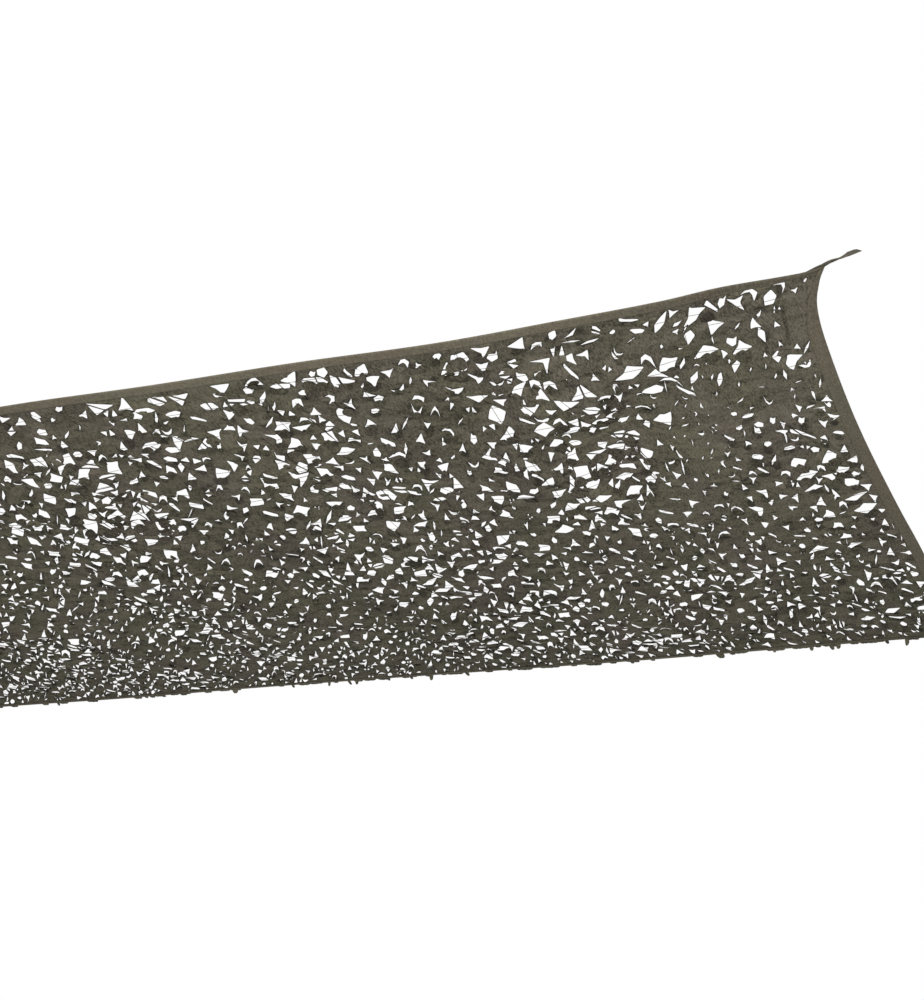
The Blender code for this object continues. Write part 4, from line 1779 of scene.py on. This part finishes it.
@dataclass
class BindingTape:
    """The folded tape over one edge, with its two rows of sewing."""

    shape: HungShape
    side: Side
    step: float = 0.02
    half_gap: float = 0.0019
    ply: float = 0.0006
    mitre_gap: float = 0.0003
    pucker: float = 0.0007
    pucker_scales: Point = (34.0, 30.0)
    stitch_pitch: float = 0.0095
    stitch_length: float = 0.0065
    stitch_radius: float = 0.00035
    stitch_rows: tuple = (0.90, 0.16)
    stitch_start: float = 0.006
    # Painted shade toward the corners: its reach, its depth, the tape's middle tone and its share on the
    # short edges
    corner_reach: float = 0.75
    corner_painted_shade: float = -0.9
    middle_tone: float = 0.55
    short_side_shade_share: float = 0.35

    # A stitch from end to end: (share of its length, share of its radius, height over the tape)
    stitch_outline: tuple = (
        (0.0, 0.25, -0.0002), (0.25, 1.0, 0.00035), (0.75, 1.0, 0.00035), (1.0, 0.25, -0.0002),
    )

    @property
    def length(self) -> float:
        """The edge's length on the flat cut."""
        return self.shape.length if self.side in (Side.NEAR, Side.FAR) else self.shape.depth

    def spot(self, along: float, inward: float) -> Point:
        """Gives the flat point at a place on the tape.

        Args:
            along: metres along the edge.
            inward: metres in from it.

        Returns:
            The flat point.
        """
        if self.side is Side.NEAR:
            return along, inward
        if self.side is Side.FAR:
            return along, self.shape.depth - inward
        if self.side is Side.RIGHT:
            return inward, along
        return self.shape.length - inward, along

    def width_at(self, along: float) -> float:
        """Gives the tape's width, which narrows toward both corners."""
        return self.shape.tape_at(min(along, self.length - along))

    def section(self, width: float) -> tuple:
        """Gives the tape's section, from the lower inner edge round the fold.

        Args:
            width: the tape's width.

        Returns:
            Rows of (distance inward, lift).
        """
        gap = self.half_gap
        return (
            (width, -gap), (width * 0.9, -gap), (width * 0.62, -gap * 1.05), (width * 0.3, -gap),
            (0.004, -gap), (0.0009, -gap * 0.7), (0.0, 0.0), (0.0009, gap * 0.7),
            (0.004, gap), (width * 0.3, gap), (width * 0.62, gap * 1.05), (width * 0.9, gap), (width, gap),
        )

    def unevenness(self, along: float, inward: float, lift: float) -> float:
        """Gives the small puckers that the sewing draws into the tape.

        Args:
            along: metres along the edge.
            inward: metres in from it.
            lift: which face, below 0 for the lower one.

        Returns:
            What it adds to the height.
        """
        seed = list(Side).index(self.side) * 7.0
        wave = noise.noise(Vector((along * self.pucker_scales[0], seed, inward * self.pucker_scales[1])))
        fade = min(inward / self.shape.tape_width, 1.0)
        return self.pucker * wave * fade * (1.0 if lift >= 0.0 else -1.0)

    def build(self) -> Piece:
        """Sweeps the section along the edge and gives the tape its thickness.

        Returns:
            The tape.
        """
        count = round(self.length / self.step)
        points = []
        flat = []
        for index in range(count + 1):
            section = self.section(self.width_at(self.length * index / count))
            for inward, lift in section:
                margin = inward + self.mitre_gap
                along = min(max(self.length * index / count, margin), self.length - margin)
                u, v = self.spot(along, inward)
                stray = self.unevenness(along, inward, lift) + self.shape.corner_crease(u, v)
                points.append(self.shape.place(u, v, lift + stray))
                flat.append((along, inward * (1.0 if lift > 0.0 else -1.0)))
        faces = swept_faces(0, count + 1, len(section))
        piece = new_piece("tape_" + self.side.value, points, faces)
        lay_uv(piece, flat)
        paint_points(piece, "tone", [self.tone(along) for along, _ in flat])
        thickness = piece.modifiers.new("Thickness", "SOLIDIFY")
        thickness.thickness = self.ply
        thickness.offset = 0.0
        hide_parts("binding_" + self.side.value)
        return piece

    def tone(self, along: float) -> float:
        """Gives the tape's tone, with painted shade that darkens it toward the corners, less so on the short
        edges.

        Args:
            along: metres along the edge.

        Returns:
            The tone.
        """
        end = soft_step(min(along, self.length - along) / self.corner_reach)
        gain = 1.0 if self.side in (Side.NEAR, Side.FAR) else self.short_side_shade_share
        return self.middle_tone + gain * self.corner_painted_shade * (1.0 - end)

    def sew(self) -> Piece:
        """Makes the rows of stitches on both faces of the tape.

        Returns:
            The stitches' piece.
        """
        points = []
        faces = []
        for share in self.stitch_rows:
            first = self.shape.tape_end_width * share + self.stitch_start
            count = int((self.length - 2.0 * first) / self.stitch_pitch)
            for index in range(count):
                start = first + index * self.stitch_pitch
                for face in (-1.0, 1.0):
                    self.stitch(points, faces, start, share, face)
        return new_piece("stitches_" + self.side.value, points, faces)

    def stitch(self, points: list, faces: list, start: float, place: float, face: float) -> None:
        """Adds one stitch: a thin bead that dips into the tape at both ends.

        Args:
            points: the piece's points, added to.
            faces: its faces, added to.
            start: where it starts along the edge.
            place: its row's place, as a share of the tape's width.
            face: 1 on the upper face, -1 on the lower one.
        """
        rise = self.half_gap + self.ply * 0.5
        faces.extend(swept_faces(len(points), len(self.stitch_outline)))
        for share, fat, height in self.stitch_outline:
            along = start + self.stitch_length * share
            inward = self.width_at(along) * place
            lift = face * (rise + height) + self.unevenness(along, inward, face)
            for cross, up in ((-1.0, 0.0), (0.0, 1.0), (1.0, 0.0)):
                u, v = self.spot(along, inward + cross * self.stitch_radius * fat)
                crease = self.shape.corner_crease(u, v)
                points.append(self.shape.place(u, v, lift + face * up * self.stitch_radius * fat + crease))


@dataclass
class CornerStrap:
    """One corner's webbing: flat on the corner's upper side, pinched as it leaves, then twisted."""

    shape: HungShape
    name: str
    far_u: bool
    far_v: bool
    droop_start: float = 0.006
    short_side: float = 0.088
    seat: float = 0.0028
    steps: int = 5
    back_shift: float = 0.05

    # (distance beyond the corner, half width, half ply, twist in degrees, sideways shift)
    stations: tuple = (
        (-0.1, 0.01, 0.001, 0.0, 0.0), (-0.05, 0.01, 0.001, 0.0, 0.0), (-0.022, 0.0095, 0.001, 0.0, 0.0),
        (-0.006, 0.0062, 0.0014, 0.0, 0.0), (0.01, 0.0052, 0.0017, 0.0, 0.0),
        (0.026, 0.0052, 0.0019, 6.0, 0.0003), (0.038, 0.0062, 0.0022, 26.0, 0.0014),
        (0.048, 0.0082, 0.0017, 46.0, 0.0042), (0.06, 0.0098, 0.0011, 60.0, 0.0086),
        (0.08, 0.01, 0.001, 62.0, 0.01),
    )

    # Section: (share of the half width, share of the half ply), once round
    section: tuple = (
        (-1.0, 0.0), (-0.94, -0.8), (-0.5, -1.0), (0.0, -0.9), (0.5, -1.0), (0.94, -0.8), (1.0, 0.0),
        (0.94, 0.8), (0.5, 1.0), (0.0, 0.9), (-0.5, 1.0), (-0.94, 0.8),
    )

    def build(self) -> Piece:
        """Sweeps the webbing's section through its stations.

        Returns:
            The strap.
        """
        corner = self.shape.place(self.far_u * self.shape.length, self.far_v * self.shape.depth)
        offset = self.shape.corner
        away_u = 1.0 if self.far_u else -1.0
        away_v = 1.0 if self.far_v else -1.0
        outward = Vector((away_u * offset[0], away_v * offset[1], 0.0))
        free = outward.length
        outward.normalize()
        hand = 1.0 if self.far_u == self.far_v else -1.0
        sideways = Vector((-outward.y, outward.x, 0.0)) * hand
        upward = Vector((0.0, 0.0, 1.0))
        points = []
        flat = []
        rows = self.rows(free)
        for distance, half_width, half_ply, twist, shift, slant in rows:
            share = soft_step((distance - self.droop_start) / (free - self.droop_start))
            height = (self.seat + half_ply) * (1.0 - share) - offset[2] * share
            angle = math.radians(twist)
            wide = sideways * math.cos(angle) + upward * math.sin(angle)
            normal = upward * math.cos(angle) - sideways * math.sin(angle)
            for place, (across, thick) in enumerate(self.section):
                reach = distance
                if slant:
                    reach = min(reach, self.short_side + (free - self.short_side) * 0.5 * (1.0 - across))
                middle = corner + outward * reach + upward * height + wide * shift
                points.append(middle + wide * half_width * across + normal * half_ply * thick)
                back = self.back_shift if place > len(self.section) // 2 else 0.0
                flat.append((reach, across * half_width + back))
        count = len(self.section)
        faces = swept_faces(0, len(rows), count, True)
        faces.append(tuple(reversed(range(count))))
        faces.append(tuple(range(len(points) - count, len(points))))
        if hand < 0.0:
            faces = [tuple(reversed(face)) for face in faces]
        piece = new_piece(self.name + "_webbing", points, faces)
        lay_uv(piece, flat)
        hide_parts(self.name)
        return piece

    def rows(self, free: float) -> list:
        """Reads the stations at even small steps, with the slanted end as the last row.

        Args:
            free: the strap's length beyond the corner.

        Returns:
            Rows as the stations, each with whether its end is slanted.
        """
        found = []
        for before, after in zip(self.stations, self.stations[1:]):
            for step in range(self.steps):
                share = step / self.steps
                found.append(tuple(a + (b - a) * share for a, b in zip(before, after)) + (False,))
        last = self.stations[-1]
        found.append(last + (False,))
        found.append((free,) + last[1:] + (True,))
        return found


class Graph:
    """A material's nodes, with one method that adds any node."""

    def __init__(self, name: str) -> None:
        """Makes the material with its Principled shader.

        Args:
            name: its name.
        """
        self.material = bpy.data.materials.new(name)
        self.material.use_nodes = True
        self.tree = self.material.node_tree
        self.shader = self.tree.nodes["Principled BSDF"]

    def feed(self, socket: bpy.types.NodeSocket, value: object) -> None:
        """Links a field to a socket, or sets the socket's own value.

        Args:
            socket: the socket.
            value: a field, or the socket's own value.
        """
        if isinstance(value, Field):
            self.tree.links.new(value.socket, socket)
        else:
            socket.default_value = value

    def add(self, kind: str, settings: dict, inputs: dict, output: int | str = 0) -> "Field":
        """Adds a node.

        Args:
            kind: the node's type.
            settings: its properties, set first.
            inputs: values or fields for its sockets.
            output: which of its outputs is wanted.

        Returns:
            The output as a field.
        """
        node = self.tree.nodes.new(kind)
        for key, value in settings.items():
            setattr(node, key, value)
        for key, value in inputs.items():
            self.feed(node.inputs[key], value)
        return Field(self, node.outputs[output])

    def mix(self, factor: "Field", first: object, second: object) -> "Field":
        """Mixes two colours by a factor."""
        return self.add("ShaderNodeMix", {"data_type": "RGBA"}, {0: factor, 6: first, 7: second}, 2)

    def noise(self, where: "Field", scale: float, detail: float = 2.0, rough: float = 0.5) -> "Field":
        """Adds an even noise."""
        inputs = {"Vector": where, "Scale": scale, "Detail": detail, "Roughness": rough}
        return self.add("ShaderNodeTexNoise", {}, inputs, "Fac")

    def bump(self, height: "Field", strength: float) -> None:
        """Raises the surface by a height in metres."""
        inputs = {"Height": height, "Distance": 1.0, "Strength": strength}
        self.feed(self.shader.inputs["Normal"], self.add("ShaderNodeBump", {}, inputs, "Normal"))


class Field:
    """A shader value that is added, multiplied and compared like a number."""

    def __init__(self, graph: Graph, socket: bpy.types.NodeSocket) -> None:
        """Wraps a node's output."""
        self.graph = graph
        self.socket = socket

    def math(self, operation: str, *others: object, swap: bool = False) -> "Field":
        """Adds a Math node on this value and others.

        Args:
            operation: the node's operation.
            others: the other values or fields.
            swap: whether this value comes last.

        Returns:
            The result.
        """
        values = [self, *others]
        if swap:
            values.reverse()
        return self.graph.add("ShaderNodeMath", {"operation": operation}, dict(enumerate(values)))

    def __add__(self, other: object) -> "Field":
        """Adds."""
        return self.math("ADD", other)

    __radd__ = __add__

    def __mul__(self, other: object) -> "Field":
        """Multiplies."""
        return self.math("MULTIPLY", other)

    __rmul__ = __mul__

    def __sub__(self, other: object) -> "Field":
        """Subtracts."""
        return self.math("SUBTRACT", other)

    def __rsub__(self, other: object) -> "Field":
        """Is subtracted."""
        return self.math("SUBTRACT", other, swap=True)

    def sine(self) -> "Field":
        """Takes the sine."""
        return self.math("SINE")

    def smooth(self, low: float, high: float) -> "Field":
        """Eases from 0 at low to 1 at high."""
        inputs = {"Value": self, "From Min": low, "From Max": high}
        return self.graph.add("ShaderNodeMapRange", {"interpolation_type": "SMOOTHSTEP"}, inputs)


def srgb(red: float, green: float, blue: float) -> Colour:
    """Turns a colour seen on a screen, 0 to 255, into the shader's own numbers.

    Args:
        red: its red, 0 to 255.
        green: its green.
        blue: its blue.

    Returns:
        The three numbers, 0 to 1.
    """
    found = []
    for value in (red, green, blue):
        share = value / 255.0
        found.append(share / 12.92 if share <= 0.04045 else ((share + 0.055) / 1.055) ** 2.4)
    return found[0], found[1], found[2]


@dataclass(frozen=True)
class ClothFinish:
    """A dull woven cloth: its colours, its blotches, its leaf-sized patches, its weave and its roughness."""

    name: str
    main: Colour
    brown: Colour
    contrast: float = 0.66
    blotch_scale: float = 1.3
    blotch_gain: float = 0.40
    patch_gain: float = 0.32
    fine_gain: float = 0.40
    grain_gain: float = 3.2
    tone_gain: float = 0.55
    weave_gain: float = 0.10
    weave_pitch: float = 0.0016
    weave_height: float = 0.00016
    roughness: float = 0.9
    rib_ratio: float = 1.0
    draw: float = 0.30
    slant: float = 62.0
    has_tone: bool = True
    fine_scale: float = 48.0
    grain_scale: float = 230.0
    hue_scale: float = 6.0
    hue_range: Point = (0.34, 0.70)
    patch_scale: tuple = (14.0, 28.0, 1.0)
    rough_gain: float = 0.16
    fine_height: float = 0.0007
    bump_strength: float = 0.6
    specular: float = 0.08

    def build(self) -> bpy.types.Material:
        """Makes the material.

        Returns:
            The material.
        """
        graph = Graph(self.name)
        where = graph.add("ShaderNodeTexCoord", {}, {}, "Object")
        flat = graph.add("ShaderNodeUVMap", {"uv_map": "flat_cut"}, {}, 0)
        drawn = graph.add("ShaderNodeMapping", {}, {"Vector": where, "Scale": (1.0, self.draw, 1.0)})
        blotch = graph.noise(drawn, self.blotch_scale, 4.0, 0.6)
        fine = graph.noise(drawn, self.fine_scale, 3.0, 0.6)
        grain = graph.noise(drawn, self.grain_scale, 4.0, 0.8)
        weave = self.weave(graph, flat)
        level = (blotch - 0.5) * self.blotch_gain + (fine - 0.5) * self.fine_gain
        level = level + (weave - 0.5) * self.weave_gain + (grain - 0.5) * self.grain_gain
        level = level + (self.leaf_patches(graph, flat) - 0.5) * self.patch_gain + 0.5
        # The tone attribute holds random tones together with the painted light and painted shade of the
        # pieces
        if self.has_tone:
            own = graph.add("ShaderNodeAttribute", {"attribute_name": "tone"}, {}, "Fac")
            level = level + (own - 0.5) * self.tone_gain
        level = level.math("MAXIMUM", 0.0).math("MINIMUM", 1.0)
        hue = graph.noise(drawn, self.hue_scale, 3.0, 0.6).smooth(*self.hue_range)
        olive, tan = (
            graph.mix(level, self.scaled(tint, 1.0 - self.contrast), self.scaled(tint, 1.0 + self.contrast))
            for tint in (self.main, self.brown)
        )
        graph.feed(graph.shader.inputs["Base Color"], graph.mix(hue, olive, tan))
        graph.feed(graph.shader.inputs["Roughness"], self.roughness + (fine - 0.5) * self.rough_gain)
        graph.bump(weave * self.weave_height + fine * self.fine_height, self.bump_strength)
        graph.shader.inputs["Specular IOR Level"].default_value = self.specular
        return graph.material

    def leaf_patches(self, graph: Graph, flat: Field) -> Field:
        """Draws patches as long as the leaves, each with its own tone, on the leaves' slant.

        Args:
            graph: the nodes.
            flat: the place on the flat cut.

        Returns:
            The patches' tone, 0 to 1.
        """
        turn = (0.0, 0.0, -math.radians(self.slant))
        inputs = {"Vector": flat, "Rotation": turn, "Scale": self.patch_scale}
        laid = graph.add("ShaderNodeMapping", {}, inputs)
        patch = graph.add("ShaderNodeTexVoronoi", {"feature": "F1"}, {"Vector": laid, "Scale": 1.0}, "Color")
        return graph.add("ShaderNodeSeparateColor", {}, {0: patch}, 0)

    def scaled(self, colour: Colour, factor: float) -> tuple:
        """Makes a colour lighter or darker and adds its fourth number."""
        return tuple(min(value * factor, 1.0) for value in colour) + (1.0,)

    def weave(self, graph: Graph, flat: Field) -> Field:
        """Draws crossed threads on the flat cut.

        Args:
            graph: the nodes.
            flat: the place on the flat cut.

        Returns:
            The threads' height, 0 to 1.
        """
        turns = math.tau / self.weave_pitch
        along = graph.add("ShaderNodeSeparateXYZ", {}, {0: flat}, 0)
        across = Field(graph, along.socket.node.outputs[1])
        along = (along * turns).sine()
        across = (across * (turns * self.rib_ratio)).sine()
        return along * across * 0.5 + 0.5


@dataclass(frozen=True)
class ThreadFinish:
    """A plain spun thread."""

    name: str
    colour: Colour
    roughness: float = 0.8
    ply_scale: float = 900.0
    patch_scale: float = 30.0
    dark_share: float = 0.7
    rough_gain: float = 0.15
    ply_height: float = 0.0004
    bump_strength: float = 0.4

    def build(self) -> bpy.types.Material:
        """Makes the material.

        Returns:
            The material.
        """
        graph = Graph(self.name)
        where = graph.add("ShaderNodeTexCoord", {}, {}, "Object")
        ply = graph.noise(where, self.ply_scale)
        patch = graph.noise(where, self.patch_scale)
        dark = tuple(value * self.dark_share for value in self.colour)
        level = (ply * 0.6 + patch * 0.4).smooth(0.3, 0.7)
        graph.feed(graph.shader.inputs["Base Color"], graph.mix(level, (*dark, 1.0), (*self.colour, 1.0)))
        graph.feed(graph.shader.inputs["Roughness"], self.roughness + (ply - 0.5) * self.rough_gain)
        graph.bump(ply * self.ply_height, self.bump_strength)
        return graph.material


@dataclass
class Studio:
    """The plain pale room, its soft light and the camera."""

    floor_level: float = -3.35
    floor_half: float = 40.0
    camera_place: tuple = (0.4456, -3.1019, -1.8244)
    camera_right: tuple = (0.91811703, 0.39428071, 0.04004805)
    camera_up: tuple = (0.11081084, -0.35241975, 0.92925846)
    camera_forward: tuple = (-0.38050241, 0.84873026, 0.36725315)
    lens: float = 56.354
    sensor: float = 36.0
    world_light: float = 0.52
    pale: tuple = (0.82, 0.82, 0.82, 1.0)
    floor_roughness: float = 0.9

    def build(self) -> None:
        """Makes the camera, the floor, the world and the lights, with the front one kept off the floor."""
        self.add_camera()
        floor = self.add_floor()
        self.add_world()
        front = self.add_light("front_light", (0.6, -4.6, -2.3), (-1.9, 0.8, 0.0), 1.8, 268.0)
        self.keep_off(front, floor)
        self.add_light("top_light", (-4.5, -2.5, 4.5), (-2.5, 1.5, 0.0), 5.0, 260.0)
        bpy.context.scene.view_settings.view_transform = "Standard"

    def add_camera(self) -> None:
        """Sets the camera where the picture was taken from."""
        data = bpy.data.cameras.new("camera")
        data.sensor_width = self.sensor
        data.lens = self.lens
        data.clip_start = 0.05
        data.clip_end = 300.0
        camera = bpy.data.objects.new("camera", data)
        right = Vector(self.camera_right)
        up = Vector(self.camera_up)
        back = -Vector(self.camera_forward)
        turn = Matrix((right, up, back)).transposed().to_4x4()
        camera.matrix_world = Matrix.Translation(self.camera_place) @ turn
        bpy.context.scene.collection.objects.link(camera)
        bpy.context.scene.camera = camera

    def add_floor(self) -> Piece:
        """Lays the pale floor.

        Returns:
            The floor.
        """
        bpy.ops.object.select_all(action="DESELECT")
        bpy.ops.mesh.primitive_plane_add(size=2.0 * self.floor_half, location=(0.0, 0.0, self.floor_level))
        floor = bpy.context.object
        floor.name = "floor"
        bpy.ops.object.transform_apply(location=True, rotation=False, scale=False)
        graph = Graph("floor_paint")
        graph.shader.inputs["Base Color"].default_value = self.pale
        graph.shader.inputs["Roughness"].default_value = self.floor_roughness
        floor.data.materials.append(graph.material)
        return floor

    def add_world(self) -> None:
        """Makes a surround that looks white and lights the sail less than that."""
        world = bpy.data.worlds.new("studio")
        world.use_nodes = True
        tree = world.node_tree
        background = tree.nodes["Background"]
        background.inputs["Color"].default_value = (1.0, 1.0, 1.0, 1.0)
        path = tree.nodes.new("ShaderNodeLightPath")
        strength = tree.nodes.new("ShaderNodeMapRange")
        strength.inputs["To Min"].default_value = self.world_light
        strength.inputs["To Max"].default_value = 1.0
        tree.links.new(path.outputs["Is Camera Ray"], strength.inputs["Value"])
        tree.links.new(strength.outputs[0], background.inputs["Strength"])
        bpy.context.scene.world = world

    def keep_off(self, light: Piece, floor: Piece) -> None:
        """Keeps a light that stands low off the floor, which it would burn out.

        Args:
            light: the light.
            floor: the floor.
        """
        receivers = bpy.data.collections.new(light.name + "_receivers")
        receivers.objects.link(floor)
        receivers.collection_objects[0].light_linking.link_state = "EXCLUDE"
        light.light_linking.receiver_collection = receivers

    def add_light(
        self, name: str, place: tuple, target: tuple, size: float, power: float,
    ) -> Piece:
        """Adds one wide soft light.

        Args:
            name: the light's name.
            place: where it stands.
            target: what it points at.
            size: its side.
            power: its power in watts.

        Returns:
            The light.
        """
        data = bpy.data.lights.new(name, "AREA")
        data.shape = "SQUARE"
        data.size = size
        data.energy = power
        light = bpy.data.objects.new(name, data)
        light.location = place
        light.visible_camera = False
        light.rotation_euler = (Vector(target) - Vector(place)).to_track_quat("-Z", "Y").to_euler()
        bpy.context.scene.collection.objects.link(light)
        return light


def dress(piece: Piece, material: bpy.types.Material) -> None:
    """Gives a piece its only material and logs its size.

    Args:
        piece: the piece.
        material: the material.
    """
    piece.data.materials.clear()
    piece.data.materials.append(material)
    LOG.info("%s: %d points, %d faces", piece.name, len(piece.data.vertices), len(piece.data.polygons))


def main() -> None:
    """Builds the whole sail and the studio."""
    logging.basicConfig(level=logging.INFO, format="%(name)s %(message)s")
    studio = Studio()
    studio.build()

    cloth = ClothFinish("net_cloth", srgb(93, 90, 75), srgb(95, 89, 79))
    tape = ClothFinish(
        "binding_tape", srgb(106, 102, 87), srgb(108, 100, 86), contrast=0.40, patch_gain=0.0,
        blotch_gain=0.8, grain_gain=3.0, weave_pitch=0.0024, rib_ratio=0.5,
    )
    webbing = ClothFinish(
        "strap_webbing", srgb(86, 83, 72), srgb(88, 81, 69), contrast=0.45, patch_gain=0.0,
        has_tone=False, weave_pitch=0.0030, weave_height=0.0003, rib_ratio=0.4,
    )
    cloth_material = cloth.build()
    tape_material = tape.build()
    webbing_material = webbing.build()
    thread_material = ThreadFinish("backing_thread", srgb(84, 80, 70)).build()
    sewing_material = ThreadFinish("sewing_thread", srgb(120, 115, 100)).build()

    shape = HungShape()
    pattern = LeafPattern(shape)
    holes = pattern.holes()
    open_area = sum(hole.area for hole in holes)
    LOG.info("%d holes, open share %.3f", len(holes), open_area / (shape.length * shape.depth))

    net = NetSheet(shape, pattern).build(holes)
    flaps = LeafFlaps(shape, pattern).build(holes)
    strips = DrawnStrips(shape).build()
    tips = EdgeLeaves(shape).build()
    threads = BackingThreads(shape).build()
    for piece in (net, flaps, strips, tips):
        dress(piece, cloth_material)
    dress(threads, thread_material)

    for side in Side:
        binding = BindingTape(shape, side)
        piece = binding.build()
        sewing = binding.sew()
        dress(piece, tape_material)
        dress(sewing, sewing_material)
        binding.length

    for name, far_u, far_v in (
        ("strap_near_right", False, False), ("strap_near_left", True, False),
        ("strap_far_right", False, True), ("strap_far_left", True, True),
    ):
        strap = CornerStrap(shape, name, far_u, far_v)
        piece = strap.build()
        dress(piece, webbing_material)

    shape.length
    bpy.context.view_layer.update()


if __name__ == "__main__":
    main()
